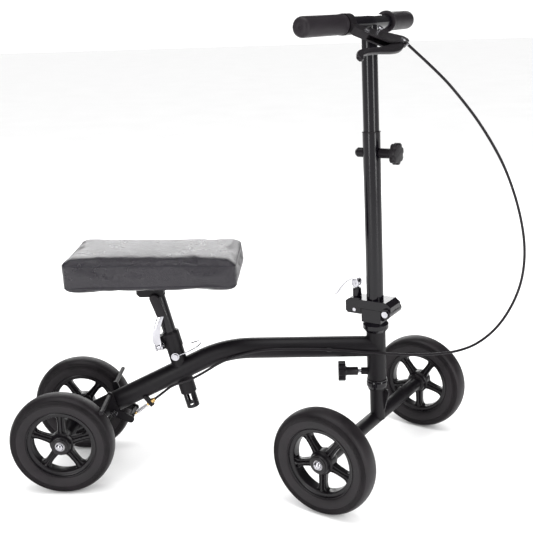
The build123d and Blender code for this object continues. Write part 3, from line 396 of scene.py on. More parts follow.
def rim_plastic(paint):
    """Smooth moulded black plastic with faint flow marks."""
    flow, peel = paint.noise(30, 4), paint.noise(420, 2)
    paint.finish(paint.tones(flow, (0.003, 0.0024, 0.0034), (0.007, 0.0056, 0.007)),
                 paint.sheen(flow, 0.24, 0.36),
                 peel, 0.00005, specular=0.3)


def frame_paint(paint):
    """Satin black powder coat with a fine grain."""
    cloud, grain = paint.noise(14, 4), paint.noise(900, 3)
    speck = paint.steps(paint.noise(520, 2), 0.66, 0.74)
    patches = paint.steps(cloud * 0.6 + speck * 0.4, 0.25, 0.7)
    paint.finish(paint.tones(patches, (0.003, 0.0022, 0.0034), (0.008, 0.006, 0.0085)),
                 paint.sheen(cloud, 0.40, 0.50),
                 grain, 0.00012, edge=0.6)


def gloss_paint(paint):
    """Glossy black paint with a slight orange peel."""
    cloud, peel = paint.noise(18, 3), paint.noise(260, 2)
    paint.finish(paint.tones(cloud, (0.0018, 0.0014, 0.0026), (0.0045, 0.0036, 0.0056)),
                 paint.sheen(cloud, 0.13, 0.2),
                 peel, 0.00002, edge=0.6, specular=0.32)


def black_plastic(paint):
    """Moulded black plastic with a fine texture."""
    cloud, grain = paint.noise(25, 3), paint.noise(1100, 2)
    paint.finish(paint.tones(cloud, (0.0045, 0.0036, 0.0048), (0.011, 0.009, 0.011)),
                 paint.sheen(cloud, 0.3, 0.42),
                 grain, 0.00012, edge=0.5)


def grip_rubber(paint):
    """Pebbled black grip rubber."""
    cloud, pebble = paint.noise(22, 4), paint.cells(900)
    paint.finish(paint.tones(cloud, (0.008, 0.006, 0.008), (0.018, 0.0145, 0.018)),
                 paint.sheen(cloud, 0.42, 0.54),
                 pebble + paint.noise(260, 3) * 0.5, 0.00014)


def bright_steel(paint):
    """Bright plated steel with brush marks."""
    cloud, brush = paint.noise(60, 4), paint.noise(350, 3, at=paint.stretched((1, 1, 6)))
    paint.finish(paint.tones(cloud, (0.34, 0.34, 0.37), (0.62, 0.61, 0.64)),
                 paint.sheen(brush, 0.14, 0.3),
                 brush, 0.00004, edge=0.4, metallic=1.0)


def dull_steel(paint):
    """Dull bearing steel."""
    cloud = paint.noise(90, 4)
    paint.finish(paint.tones(cloud, (0.32, 0.31, 0.32), (0.58, 0.57, 0.57)),
                 paint.sheen(cloud, 0.3, 0.48),
                 paint.noise(600, 2), 0.00006, edge=0.3, metallic=1.0)


def brass(paint):
    """Turned brass."""
    cloud = paint.noise(120, 4)
    paint.finish(paint.tones(cloud, (0.42, 0.27, 0.09), (0.78, 0.55, 0.24)),
                 paint.sheen(cloud, 0.2, 0.4),
                 paint.noise(700, 2), 0.00005, edge=0.3, metallic=1.0)


def cable_sheath(paint):
    """The brake cable's black sheath."""
    cloud = paint.noise(40, 3)
    paint.finish(paint.tones(cloud, (0.004, 0.0032, 0.0045), (0.010, 0.008, 0.010)),
                 paint.sheen(cloud, 0.28, 0.4),
                 paint.noise(800, 2), 0.00005)


def seat_vinyl(paint):
    """Black leathercloth with a cell grain and slack folds."""
    warp, blotch = paint.noise(60, 2), paint.noise(8, 3)
    grain = paint.steps(paint.cells(330, "DISTANCE_TO_EDGE"), 0.0, 0.22)
    fine = paint.cells(820, "DISTANCE_TO_EDGE")
    folds = paint.noise(11, 3, at=paint.stretched((1, 1, 7)), distort=0.4)
    patches = paint.steps(blotch * 0.5 + grain * 0.5, 0.2, 0.85)
    paint.finish(paint.tones(patches, (0.004, 0.003, 0.006), (0.013, 0.010, 0.016)),
                 paint.sheen(warp * 0.5 + blotch * 0.5, 0.24, 0.34),
                 grain * 0.2 + fine * 0.10 + folds * 1.1, 0.0015, specular=0.5)


def seat_thread(paint):
    """The seat cover's piping."""
    twist = paint.noise(900, 2)
    paint.finish(paint.tones(twist, (0.010, 0.009, 0.012), (0.026, 0.024, 0.030)),
                 paint.sheen(twist, 0.4, 0.55),
                 twist, 0.0002)


def seat_ply(paint):
    """Bare plywood under the cushion."""
    rings = paint.noise(30, 5, at=paint.stretched((1, 8, 8)))
    paint.finish(paint.tones(rings, (0.30, 0.19, 0.09), (0.56, 0.40, 0.23)),
                 paint.sheen(rings, 0.55, 0.75),
                 rings, 0.0003)


def pale_floor(paint):
    """The studio's pale floor."""
    cloud = paint.noise(3, 3)
    paint.finish(paint.tones(cloud, (0.86, 0.86, 0.86), (0.9, 0.9, 0.9)),
                 paint.sheen(cloud, 0.7, 0.8),
                 paint.noise(200, 2), 0.00005)


# each finish and the record's slot that it goes with; the floor is not part of the scooter
FINISHES = [(tyre_rubber, "tyre_rubber"), (rim_plastic, "rim_plastic"), (frame_paint, "frame_paint"),
            (gloss_paint, "gloss_paint"), (black_plastic, "black_plastic"), (grip_rubber, "grip_rubber"),
            (bright_steel, "bright_steel"), (dull_steel, "bearing_steel"), (brass, "brass_fitting"),
            (cable_sheath, "cable_sheath"), (seat_vinyl, "seat_vinyl"), (seat_thread, "seat_vinyl"),
            (seat_ply, "seat_ply"), (pale_floor, "")]
PAINTS = {}


def mix_paints():
    """Makes every finish on the scooter."""
    for work, slot in FINISHES:
        PAINTS[work.__name__] = Paint(work.__name__, slot)
        work(PAINTS[work.__name__])


def coat(obj, finish):
    """Gives a finished piece its material."""
    paint = PAINTS[finish]
    obj.data.materials.clear()
    obj.data.materials.append(paint.material)


def fit(obj, finish, body, *nodes):
    """Finishes a piece, sets it on its body and hides what it stands for."""
    coat(obj, finish)
    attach(obj, body)
    if nodes:
        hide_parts(*nodes)


# the finish of each node that is carried over, and of some that a finer piece then stands for
NODE_FINISH = {
    "frame_paint": ["main_frame", "seat_collar", "steering_fork", "brake_arm", "seat_bracket"],
    "gloss_paint": ["head_cups", "fold_base", "fold_head", "lower_stem_tube", "handlebar", "seat_post",
                    "catch_nut"],
    "black_plastic": ["post_bushing", "stem_bushing", "height_cap", "seat_lever_grip", "cable_clip",
                      "lever_housing", "brake_lever", "tension_knob", "height_knob"],
    "bright_steel": ["rear_axle_bolts", "front_axle_bolts", "fold_pin", "swing_bolt", "cam_lever",
                     "lever_screws", "lock_pin", "cable_ferrule", "brake_wire", "brake_pivot_bolt",
                     "seat_lever", "seat_lever_bolt", "snap_pin", "pin_bail", "seat_screws"],
    "dull_steel": ["head_bearings"] + [which + "_bearings" for which in WHEELS],
    "brass": ["cable_adjuster"],
    "seat_ply": ["seat_board"],
}


# ---- sizes a user may change ---------------------------------------------------------------------
class ScooterSizes(bpy.types.PropertyGroup):
    """Sizes that change the look and not the scooter's fit."""

    ridge_depth: bpy.props.FloatProperty(
        name="Ridge Depth", description="Depth of the rings on the tyres' shoulders",
        default=0.0010, min=0, max=0.002, unit="LENGTH")
    seat_swell: bpy.props.FloatProperty(
        name="Seat Swell", description="How far the stuffing may push the cover out",
        default=0.0045, min=0, max=0.01, unit="LENGTH")
    piping_radius: bpy.props.FloatProperty(
        name="Piping Radius", description="Radius of the seat cover's edge piping",
        default=0.0012, min=0.0005, max=0.003, unit="LENGTH")
    cable_radius: bpy.props.FloatProperty(
        name="Cable Radius", description="Radius of the brake cable's sheath",
        default=CABLE_R * MM, min=0.001, max=0.005, unit="LENGTH")
    floor_size: bpy.props.FloatProperty(
        name="Floor Size", description="Side of the pale floor",
        default=40.0, min=4, max=80, unit="LENGTH")


def sizes():
    """The scene's own copy of the sizes that a user may change."""
    return bpy.context.scene.scooter_sizes


# ---- pieces --------------------------------------------------------------------------------------
class SCOOTER_OT_carried_parts(bpy.types.Operator):
    """Gives every carried-over part of the frame its finish."""

    bl_idname = "scooter.carried_parts"
    bl_label = "Finish Carried Parts"

    def execute(self, context):
        mix_paints()
        for finish, names in NODE_FINISH.items():
            for name in names:
                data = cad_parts[name].data
                data.materials.clear()
                data.materials.append(PAINTS[finish].material)
        return {"FINISHED"}


# the tyre's section as (radius, half-width): from the rim up the wall to the first ring, then the tread
TYRE_WALL = [(66.9, 14.6), (67.6, 15.7), (69.0, 16.6), (71.5, 17.6), (75.0, 18.6), (79.0, 19.3), (82.0, 19.7),
             (83.2, 19.75), (83.6, 19.1), (84.6, 19.0), (85.0, 19.75)]
TYRE_TREAD = [(94.6, 17.9), (95.9, 16.6), (97.2, 14.4), (98.3, 11.4), (99.0, 8.2), (99.5, 4.2), (99.7, 0.0)]
FIRST_RING, RING_PITCH, RINGS = 85.6, 1.75, 5
SHOULDER_R, SHOULDER_HALF = 88.5, 19.85


def tyre_profile():
    """Half of the tyre's section, with a shallow groove for each ring on its shoulder."""
    depth = sizes().ridge_depth / MM
    half = list(TYRE_WALL)
    for k in range(RINGS):
        inner = FIRST_RING + RING_PITCH * k
        wide = SHOULDER_HALF - max(0.0, inner - SHOULDER_R) ** 1.6 * 0.10
        half += [(inner, wide), (inner + 0.3, wide - depth), (inner + 0.85, wide - depth),
                 (inner + 1.15, wide - 0.05)]
    return half + TYRE_TREAD


class SCOOTER_OT_tyres(bpy.types.Operator):
    """Turns the four ringed tyres."""

    bl_idname = "scooter.tyres"
    bl_label = "Tyres"

    def execute(self, context):
        section = both_sides(tyre_profile())
        for which in WHEELS:
            tyre = turned(which + "_rubber", section, wheel_place(which), steps=128, crease=30, closed=True)
            fit(tyre, "tyre_rubber", which, which + "_tyre")
        return {"FINISHED"}


# the rim ring and the hub, as (radius, half-width)
RIM_RING = [(67.0, 14.4), (66.7, 15.5), (65.9, 15.9), (65.0, 15.6), (64.4, 14.4), (64.0, 12.6), (62.8, 11.9),
            (60.0, 11.6), (58.6, 11.3), (57.6, 10.6), (57.0, 9.2), (56.7, 7.4), (56.6, 0.0)]
HUB = [(9.2, 19.4), (9.6, 20.6), (14.6, 20.8), (15.4, 20.3), (15.7, 18.6), (17.4, 18.3), (18.2, 17.6),
       (18.5, 16.0), (19.0, 12.2), (20.6, 10.0), (22.6, 8.2), (22.9, 0.0)]
# a spoke's half-width and height factor at each radius, and its section as (share of half-width, height)
SPOKE_STATIONS = [(16.5, 10.5, 1.25), (19.5, 9.6, 1.2), (22.5, 8.2, 1.1), (27, 7.3, 1.0), (34, 6.8, 0.98),
                  (42, 6.6, 0.97), (48, 6.9, 1.0), (52, 8.0, 1.05), (54.5, 9.8, 1.1), (56.2, 12.2, 1.16),
                  (58, 15.5, 1.2)]
SPOKE_SECTION = [(1.0, 3.6), (0.97, 5.2), (0.88, 6.1), (0.74, 6.1), (0.64, 5.2), (0.60, 4.4), (0.34, 4.3),
                 (0.26, 5.0), (0.22, 7.2), (0.14, 7.9), (0.0, 8.1)]


def make_spoke(place, index):
    """One spoke: a web with raised borders and a rib along its middle, wider at both ends."""
    front = SPOKE_SECTION + [(-t, y) for t, y in reversed(SPOKE_SECTION[:-1])]
    section = front + [(t, -y) for t, y in reversed(front)]
    spoke = lofted("spoke", [[(radius, t * wide, y * tall) for t, y in section]
                             for radius, wide, tall in SPOKE_STATIONS])
    turn = place @ Matrix.Rotation(math.radians(index * 360 / SPOKES), 4, "Z")
    return settle(spoke, turn, outwards=True, crease=28)


class SCOOTER_OT_rims(bpy.types.Operator):
    """Builds the four moulded rims with their hubs."""

    bl_idname = "scooter.rims"
    bl_label = "Rims"

    def execute(self, context):
        for which in WHEELS:
            place = wheel_place(which)
            parts = [turned(label, both_sides(half), place, steps=120, crease=28, closed=True)
                     for label, half in (("ring", RIM_RING), ("hub", HUB))]
            parts += [make_spoke(place, index) for index in range(SPOKES)]
            fit(joined(which + "_wheel", parts), "rim_plastic", which, which + "_rim")
        return {"FINISHED"}


# a domed bolt head with its dimple and washer, and its shank, as (radius, height) from the washer's seat
AXLE_BOLT = [(0, 6.9), (1.6, 6.85), (2.0, 6.1), (2.6, 6.1), (3.0, 6.7), (4.8, 6.2), (6.3, 5.0), (7.1, 3.4),
             (7.4, 1.9), (8.4, 1.7), (8.6, 1.3), (8.6, 0.2), (8.3, 0.0), (5.0, 0.0), (5.0, -40.0),
             (4.4, -41.0), (0, -41.0)]
BOLT_SEAT = HUB_HALF - 0.7


class SCOOTER_OT_axle_bolts(bpy.types.Operator):
    """Turns the domed axle bolts with their washers."""

    bl_idname = "scooter.axle_bolts"
    bl_label = "Axle Bolts"

    def execute(self, context):
        for axle, body in (("rear", "frame"), ("front", "fork")):
            node = axle + "_axle_bolts"
            hubs = [wheel_place(axle + "_wheel_" + side) for side in ("left", "right")]
            bolts = [turned("bolt", AXLE_BOLT, inside(hub, (0, 0, BOLT_SEAT)), steps=64) for hub in hubs]
            fit(joined(node + "_domed", bolts), "bright_steel", body, node)
        return {"FINISHED"}


# ---- seat ----------------------------------------------------------------------------------------
# rows of the cover from under the board to the crown: (inset, height)
SEAT_ROWS = [(30, 394.7), (16, 394.6), (7, 394.6), (2.6, 395.8), (0.8, 400), (1.0, 412), (1.2, 424),
             (0.6, 434), (0.2, 440.5), (0.6, 443.4), (2.2, 445.6), (6, 447.0), (14, 448.2), (26, 449.0),
             (40, 449.6), (55, 450.0), (70, 450.2)]
# how much higher than its row the top's middle stands, and how much more its rear end does
MIDDLE_RISE, REAR_RISE = 0.5, 2.8


def seat_ring(inset, height, per_side=22, per_corner=10):
    """One ring of the cushion: a rounded rectangle set in from the cover's outline."""
    half_x, half_y = SEAT_LEN / 2 + COVER_EASE - inset, SEAT_WIDTH / 2 + COVER_EASE / 2 - inset
    radius = max(SEAT_CORNER - inset * 0.1, LEAST_CORNER)
    points = []
    corners = [(1, 1, 0), (-1, 1, 90), (-1, -1, 180), (1, -1, 270)]
    for index, (sx, sy, first) in enumerate(corners):
        for k in range(per_corner + 1):
            angle = math.radians(first + 90 * k / per_corner)
            points.append((sx * (half_x - radius) + radius * math.cos(angle),
                           sy * (half_y - radius) + radius * math.sin(angle)))
        nx, ny, after = corners[(index + 1) % 4]
        angle = math.radians(after)
        goal_x = nx * (half_x - radius) + radius * math.cos(angle)
        goal_y = ny * (half_y - radius) + radius * math.sin(angle)
        x, y = points[-1]
        for k in range(1, per_side):
            t = k / per_side
            points.append((x + (goal_x - x) * t, y + (goal_y - y) * t))
    # the cushion is thicker at its rear
    share = (height - SEAT_LOW) / (SEAT_TOP - SEAT_LOW)
    return [(SEAT_MID_X + x, y, height + share * (MIDDLE_RISE - REAR_RISE * x / (SEAT_LEN / 2)))
            for x, y in points]


def stuff(cushion, most):
    """Swells a cushion like stuffing, with no point moved further than the most."""
    remesh = cushion.modifiers.new("cover", "REMESH")
    remesh.mode = "VOXEL"
    remesh.voxel_size = COVER_VOXEL * MM
    cushion = settle(cushion)
    still = [v.co.copy() for v in cushion.data.vertices]
    cloth = cushion.modifiers.new("stuffing", "CLOTH")
    cloth.settings.use_pressure = True
    cloth.settings.uniform_pressure_force = STUFFING_PRESSURE
    cloth.settings.effector_weights.gravity = 0
    cloth.settings.quality = 6
    scene = bpy.context.scene
    for number in range(1, STUFFING_FRAMES + 1):
        scene.frame_set(number)
    graph = bpy.context.evaluated_depsgraph_get()
    moved = [v.co.copy() for v in cushion.evaluated_get(graph).data.vertices]
    cushion.modifiers.clear()
    scene.frame_set(1)
    for vertex, start, end in zip(cushion.data.vertices, still, moved):
        step = end - start
        if step.length > most:
            step = step.normalized() * most
        vertex.co = start + step
    ease = cushion.modifiers.new("ease", "SMOOTH")
    ease.factor, ease.iterations = 0.5, 2
    finer = cushion.modifiers.new("finer", "SUBSURF")
    finer.levels = finer.render_levels = 1
    return settle(cushion, crease=80)


def pipe_round(cushion):
    """The two pipings, laid on the cushion's upper and lower edges."""
    mesh = cushion.data
    cover = BVHTree.FromPolygons([v.co for v in mesh.vertices], [f.vertices for f in mesh.polygons])
    centre = spot(CHASSIS, (SEAT_MID_X, 0, SEAT_LOW))
    pipings = []
    for label, inset, height in PIPINGS:
        ring = []
        for point in seat_ring(inset, height, per_side=9, per_corner=4):
            aim = spot(CHASSIS, point)
            near = cover.find_nearest(aim)[0]
            out = aim - centre
            out.z = 0
            ring.append((near - out.normalized() * (PIPING_SUNK * MM)) / MM)
        pipings.append(wire(label, ring, sizes().piping_radius / MM, None, cyclic=True, sides=3))
    return pipings


class SCOOTER_OT_seat(bpy.types.Operator):
    """Stuffs the knee rest's cushion and lays its piping."""

    bl_idname = "scooter.seat"
    bl_label = "Knee Rest"

    def execute(self, context):
        cage = lofted("seat_cushion", [seat_ring(inset, height) for inset, height in SEAT_ROWS])
        cushion = stuff(settle(cage, CHASSIS, outwards=True), sizes().seat_swell)
        if cushion.dimensions.z <= 0:
            raise RuntimeError("the cushion has no thickness")
        pipings = pipe_round(cushion)
        fit(cushion, "seat_vinyl", "seat", "seat_pad")
        for piping in pipings:
            fit(piping, "seat_thread", "seat")
        return {"FINISHED"}


# ---- cable ---------------------------------------------------------------------------------------
# where the lever's ferrule stands and points, and the cable's route from its tip to the adjuster
CABLE_OUT, CABLE_DIR, FERRULE_LEN = (42.4, 10.6, 813.0), (0.738, -0.029, -0.674), 8.3
CABLE_POINTS = [
    tuple(a + b * FERRULE_LEN for a, b in zip(CABLE_OUT, CABLE_DIR)),
    (104, 8, 757), (139, 7, 717), (175, 5, 671), (211, 3, 613), (233, 2, 566), (253, 0, 507),
    (265, -3, 445), (264, -5, 388), (250, -8, 339), (222, -12, 291), (185, -16, 259), (148, -19, 245),
    (106, -21, 240), (61, -23, 240), (18, -24, 243), (-27, -24.5, 247), (-72, -24.5, 252), (-121, -23.5, 255),
    (-171, -23, 256), (-220, -23, 255), (-262, -23, 247), (-303, -23, 232), (-337, -23, 210),
    (-367, -23, 194), (-400, -21, 184), (-420.4, -15, 165.2),
    tuple(a - b * 12 for a, b in zip(ADJUSTER, ADJUSTER_DIR)),
]
# each span's node, the runs where it starts and ends, and the bodies that it joins
CABLE_SPANS = [("cable_upper", None, 5, "handlebar", "stem"), ("cable_middle", 5, 7, "stem", "fork"),
               ("cable_lower", 7, 17, "fork", "frame"), ("cable_frame", 17, None, "frame", None)]


def halfway(run):
    """The middle of one run of the cable's route."""
    return tuple((a + b) / 2 for a, b in zip(CABLE_POINTS[run], CABLE_POINTS[run + 1]))


class SCOOTER_OT_cable(bpy.types.Operator):
    """Lays the brake cable from the lever to the rear brake, in spans that meet where it crosses a joint."""

    bl_idname = "scooter.cable"
    bl_label = "Brake Cable"

    def execute(self, context):
        radius = sizes().cable_radius / MM
        for node, first, last, upper, lower in CABLE_SPANS:
            start = CABLE_POINTS[0] if first is None else halfway(first)
            end = CABLE_POINTS[-1] if last is None else halfway(last)
            low = 1 if first is None else first + 1
            high = len(CABLE_POINTS) - 1 if last is None else last + 1
            route = [start] + CABLE_POINTS[low:high] + [end]
            sheath = wire(node + "_sheath", route, radius, CHASSIS, resolution=12, sides=4)
            coat(sheath, "cable_sheath")
            if lower is None:
                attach(sheath, upper)
            else:
                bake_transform(sheath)
            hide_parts(node)
        return {"FINISHED"}


class SCOOTER_OT_brake_spring(bpy.types.Operator):
    """Winds the return spring on the rear brake's bare wire, with a ferrule at its end."""

    bl_idname = "scooter.brake_spring"
    bl_label = "Brake Spring"

    def execute(self, context):
        place = inside(CHASSIS, ADJUSTER, (0, 1, 0), ADJUSTER_DIR)
        turns, per_turn, low, high, radius = 9, 10, 8.5, 35.0, 3.6
        last = turns * per_turn
        points = []
        for k in range(last + 1):
            angle = 2 * math.pi * k / per_turn
            # both ends of the wire tuck in a little
            reach = radius * (0.9 if k in (0, last) else 1.0)
            points.append((reach * math.cos(angle), reach * math.sin(angle), low + (high - low) * k / last))
        coil = wire("brake_return_coil", points, 0.65, place, resolution=3, sides=3)
        fit(coil, "bright_steel", "frame", "brake_spring")
        ferrule = [(1.1, 7.0), (2.2, 6.6), (2.5, 5.6), (2.5, 0.8), (2.2, 0.2), (1.1, 0.0)]
        collar = turned("brake_wire_ferrule", ferrule, inside(place, (0, 0, 33.5)), steps=32, closed=True)
        fit(collar, "brass", "frame")
        return {"FINISHED"}


# ---- handlebar and controls ----------------------------------------------------------------------
class SCOOTER_OT_grips(bpy.types.Operator):
    """Turns the two moulded grips."""

    bl_idname = "scooter.grips"
    bl_label = "Grips"

    def execute(self, context):
        inner, tip = BAR_HALF - GRIP_LEN, BAR_HALF
        sweep = math.radians(BAR_SWEEP)
        # the flange at the grip's inner end is larger on the left
        for side, name, flange in ((1, "grip_left", 19.2), (-1, "grip_right", 17.4)):
            place = inside(BAR, (0, 0, 0), (0, 0, 1), (-math.sin(sweep), side * math.cos(sweep), 0))
            profile = [(0, tip - 1.6), (2.2, tip - 1.6), (3.0, tip - 0.5), (6.0, tip), (10.0, tip - 0.1),
                       (13.2, tip - 1.2), (15.4, tip - 3.4), (16.5, tip - 6.6), (16.8, tip - 10),
                       (16.7, inner + 60), (16.8, inner + 8.5), (17.0, inner + 7.0),
                       (flange - 0.6, inner + 6.2), (flange, inner + 5.2), (flange, inner + 1.4),
                       (flange - 0.8, inner + 0.4), (BAR_R + 1.2, inner + 0.1), (BAR_R + 0.1, inner + 0.5),
                       (BAR_R + 0.1, inner + 6)]
            fit(turned(name + "_moulded", profile, place, steps=96), "grip_rubber", "handlebar", name)
        return {"FINISHED"}


# the blade from its pivot, along the bar and out to its curled tip
BRAKE_BLADE = [(24, 53.5), (31.5, 58), (30, 65), (4, 77), (-22, 83.5), (-50, 83.5), (-92, 79), (-130, 78.5),
               (-150, 81.5), (-160, 91), (-170, 90), (-169, 82), (-158, 73), (-146, 68.5), (-118, 65.5),
               (-88, 66.5), (-55, 67.5), (-22, 62.5)]


class SCOOTER_OT_brake_blade(bpy.types.Operator):
    """Shapes the brake lever's blade."""

    bl_idname = "scooter.brake_blade"
    bl_label = "Brake Blade"

    def execute(self, context):
        body = plate("brake_blade", rounded(BRAKE_BLADE, 14, 7), 7, BRAKE_LEVER, bevel=2.2, segments=4,
                     crease=50)
        fit(body, "black_plastic", "brake_lever", "brake_lever")
        return {"FINISHED"}


def star(radius, depth, lobes, count=140):
    """A star grip's outline with round lobes."""
    out = []
    for k in range(count):
        angle = 2 * math.pi * k / count
        reach = radius - depth * (0.5 + 0.5 * math.cos(lobes * angle)) ** 2.2
        out.append((reach * math.cos(angle), reach * math.sin(angle)))
    return out


# the tension knob's screw along its axis: its foot, its thread and its tip
THREAD_FOOT, THREAD_START, THREAD_PITCH, THREAD_TURNS, THREAD_TIP = 38.0, 38.2, 0.95, 17, 54.5


class SCOOTER_OT_knobs(bpy.types.Operator):
    """Builds the two star knobs with their necks and threaded shanks."""

    bl_idname = "scooter.knobs"
    bl_label = "Star Knobs"

    def execute(self, context):
        tension = inside(CHASSIS, TENSION_KNOB, (0, 0, 1), (1, 0, 0))
        height = inside(COLUMN, HEIGHT_KNOB, (0, 0, 1), (-1, 0, 0))
        for name, place, thick, reach, neck in (("tension_knob", tension, 14, 38.0, 8.2),
                                                ("height_knob", height, 12, 37.5, 9.0)):
            middle = inside(place, (0, 0, thick / 2))
            head = plate("head", star(19.6, 2.8, 7), thick, middle, bevel=1.6, crease=60)
            stalk = turned("stalk", [(0, reach), (neck - 0.9, reach), (neck, reach - 1.2), (neck, 18.0),
                                     (neck + 0.6, 15.5), (neck + 3.0, 13.0)], place, steps=64)
            fit(joined(name + "_moulded", [head, stalk]), "black_plastic", name, name)
        thread = [(0, THREAD_TIP)]
        for k in reversed(range(THREAD_TURNS)):
            crest = THREAD_START + k * THREAD_PITCH
            thread += [(3.4, crest + 0.45), (4.0, crest)]
        thread.append((0, THREAD_FOOT))
        fit(turned("tension_thread", thread, tension, steps=40), "bright_steel", "tension_knob")
        stub = [(0, 39.4), (3.6, 39.4), (4.0, 39.0), (4.0, 37.0), (0, 37.0)]
        fit(turned("height_thread", stub, height, steps=40), "bright_steel", "height_knob")
        return {"FINISHED"}


# where a strip's points stand across it, from edge to edge
ACROSS = (-1, -0.6, 0, 0.6, 1)


def strip(name, stations, thick, place):
    """A bent metal strip through stations of (centre, half-width, bow), each a vector."""
    points, faces = [], []
    for centre, half, bow in stations:
        points += [tuple(Vector(centre) + Vector(half) * t + Vector(bow) * (1 - t * t)) for t in ACROSS]
    wide = len(ACROSS)
    for row in range(len(stations) - 1):
        for i in range(wide - 1):
            a = row * wide + i
            faces.append((a, a + 1, a + wide + 1, a + wide))
    obj = from_points(name, points, faces)
    solid = obj.modifiers.new("thickness", "SOLIDIFY")
    solid.thickness = thick * MM
    solid.offset = 0
    edged(obj, 0.5, 2)
    finer = obj.modifiers.new("finer", "SUBSURF")
    finer.levels = finer.render_levels = 1
    return settle(obj, place, outwards=True, crease=60)


def cheeks(name, outline, thick, place, spread, bevel):
    """Two like plates, one to each side of a place."""
    sides = [inside(place, (0, 0, side * spread)) for side in (-1, 1)]
    return [plate(name, outline, thick, side, bevel=bevel) for side in sides]


def bend_cam_lever():
    """The folding joint's lever: a thin strip that falls behind the stem and ends in a small tab."""
    line = [(4, 8.6), (-4, 9.4), (-12, 6.8), (-20, 1.6), (-28, -6.2), (-35, -15), (-40.4, -24), (-43, -26),
            (-47, -25.4)]
    widths = [7.6, 7.8, 7.9, 7.9, 7.6, 7.2, 6.8, 6.6, 6.2]
    place = inside(COLUMN, (SWING_X, 0, CAM_Z), (1, 0, 0), (0, -1, 0))
    stations = [((x, z, 0), (0, 0, wide), (0, 0, 0)) for (x, z), wide in zip(line, widths)]
    blade = strip("cam_blade", stations, 1.8, place)
    cheek = rounded([(-8.5, 6.5), (-6, -5), (0, -8), (7, -4), (7, 5), (3, 9)], 4, 5)
    parts = [blade] + cheeks("cheek", cheek, 3.2, place, 6.1, 0.6)
    fit(joined("cam_lever_bent", parts), "bright_steel", "catch_lever", "cam_lever")


def bend_seat_lever():
    """The seat post's clamp lever: a bowed bright blade up to a black grip."""
    line = [(-24, 137), (-24, 146), (-21, 158), (-15, 172), (-6, 186), (1.5, 197)]
    bulge = [0, 2.2, 3.6, 3.6, 2.0, 0.4]
    stations = [((x, CLAMP_Y - 1.2 - out, s), (7.6, 0, 1.2), (0, -1.2, 0))
                for (x, s), out in zip(line, bulge)]
    blade = strip("clamp_blade", stations, 2.2, POST)
    hinge = inside(POST, (CLAMP_X, CLAMP_Y, CLAMP_S), (0, 1, 0), (1, 0, 0))
    barrel = rounded([(6, -5.5), (7, 0), (5, 6.5), (-3, 10), (-5, 4), (-6, -4), (0, -7.5)], 3, 4)
    parts = [blade] + cheeks("barrel", barrel, 3.6, hinge, 5.8, 0.7)
    fit(joined("seat_lever_bent", parts), "bright_steel", "seat_clamp", "seat_lever")
    beside = inside(POST, (0, CLAMP_Y - 1.6, 0), (1, 0, 0), (0, -1, 0))
    grip = rounded([(-9, 191), (10, 189), (7, 214), (4.5, 231), (0, 236), (-9, 236), (-13, 231),
                    (-11, 212)], 4)
    handle = plate("seat_lever_handle", grip, 6.4, beside, bevel=2.0, segments=4)
    fit(handle, "black_plastic", "seat_clamp", "seat_lever_grip")


class SCOOTER_OT_clamp_levers(bpy.types.Operator):
    """Bends the folding joint's cam lever and the seat post's clamp lever."""

    bl_idname = "scooter.clamp_levers"
    bl_label = "Clamp Levers"

    def execute(self, context):
        bend_cam_lever()
        bend_seat_lever()
        return {"FINISHED"}


# ---- stage ---------------------------------------------------------------------------------------
def area_light(name, place, aim, size, power):
    """A softbox at a place, turned to an aim."""
    light = bpy.data.lights.new(name, "AREA")
    light.shape = "RECTANGLE"
    light.size, light.size_y = size
    light.energy = power
    lamp = add_object(name, light)
    lamp.location = place
    lamp.rotation_euler = (Vector(aim) - Vector(place)).to_track_quat("-Z", "Y").to_euler()


def light_world(scene):
    """A white studio all round, dimmed where a glossy surface mirrors it."""
    # a scene's default view transform greys the blacks
    scene.view_settings.view_transform = "Standard"
    scene.world = bpy.data.worlds.new("studio")
    scene.world.use_nodes = True
    tree = scene.world.node_tree
    rays = tree.nodes.new("ShaderNodeLightPath")
    level = tree.nodes.new("ShaderNodeMapRange")
    level.inputs["To Min"].default_value = WORLD_LEVEL
    level.inputs["To Max"].default_value = WORLD_IN_GLOSS
    tree.links.new(rays.outputs["Is Glossy Ray"], level.inputs["Value"])
    tree.links.new(level.outputs[0], tree.nodes["Background"].inputs["Strength"])
    tree.nodes["Background"].inputs["Color"].default_value = (1, 1, 1, 1)


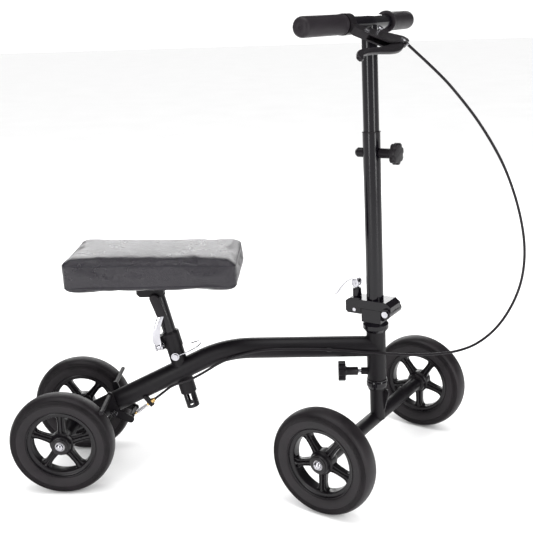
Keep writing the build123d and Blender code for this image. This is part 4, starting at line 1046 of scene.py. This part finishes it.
def place_camera(scene):
    """The camera, from its yaw, pitch and roll."""
    yaw, pitch, roll = (math.radians(a) for a in (CAMERA_YAW, CAMERA_PITCH, CAMERA_ROLL))
    forward = Vector((math.sin(yaw) * math.cos(pitch), math.cos(yaw) * math.cos(pitch), math.sin(pitch)))
    right = Vector((math.cos(yaw), -math.sin(yaw), 0))
    up = right.cross(forward)
    across = right * math.cos(roll) + up * math.sin(roll)
    over = up * math.cos(roll) - right * math.sin(roll)
    camera = bpy.data.cameras.new("camera")
    camera.lens, camera.sensor_width = CAMERA_LENS, CAMERA_SENSOR
    view = add_object("camera", camera)
    turn = Matrix((across, over, -forward)).transposed().to_4x4()
    view.matrix_world = Matrix.Translation(Vector(CAMERA_PLACE) * MM) @ turn
    scene.camera = view


class SCOOTER_OT_stage(bpy.types.Operator):
    """Sets the pale floor, the soft lights and the camera."""

    bl_idname = "scooter.stage"
    bl_label = "Stage"

    def execute(self, context):
        half = sizes().floor_size / 2 / MM
        floor = from_points("floor", [(-half, -half, 0), (half, -half, 0), (half, half, 0), (-half, half, 0)],
                            [(0, 1, 2, 3)])
        floor.data.materials.append(PAINTS["pale_floor"].material)
        light_world(context.scene)
        for box in SOFTBOXES:
            area_light(*box)
        place_camera(context.scene)
        return {"FINISHED"}


STEPS = ["carried_parts", "tyres", "rims", "axle_bolts", "seat", "cable", "brake_spring", "grips",
         "brake_blade", "knobs", "clamp_levers", "stage"]


class SCOOTER_PT_panel(bpy.types.Panel):
    """The scooter's sizes and steps in the sidebar."""

    bl_idname = "SCOOTER_PT_panel"
    bl_label = "Knee Scooter"
    bl_space_type = "VIEW_3D"
    bl_region_type = "UI"
    bl_category = "Scooter"

    def draw(self, context):
        for name in ScooterSizes.__annotations__:
            self.layout.prop(context.scene.scooter_sizes, name)
        for step in STEPS:
            self.layout.operator("scooter." + step)


CLASSES = [ScooterSizes, SCOOTER_OT_carried_parts, SCOOTER_OT_tyres, SCOOTER_OT_rims, SCOOTER_OT_axle_bolts,
           SCOOTER_OT_seat, SCOOTER_OT_cable, SCOOTER_OT_brake_spring, SCOOTER_OT_grips,
           SCOOTER_OT_brake_blade, SCOOTER_OT_knobs, SCOOTER_OT_clamp_levers, SCOOTER_OT_stage,
           SCOOTER_PT_panel]


def register():
    """Adds the operators, the panel and the sizes to Blender."""
    for cls in CLASSES:
        bpy.utils.register_class(cls)
    bpy.types.Scene.scooter_sizes = bpy.props.PointerProperty(type=ScooterSizes)


def unregister():
    """Takes them away again."""
    del bpy.types.Scene.scooter_sizes
    for cls in reversed(CLASSES):
        bpy.utils.unregister_class(cls)


def main():
    """Builds the whole scooter."""
    register()
    for step in STEPS:
        getattr(bpy.ops.scooter, step)()


if __name__ == "__main__":
    main()
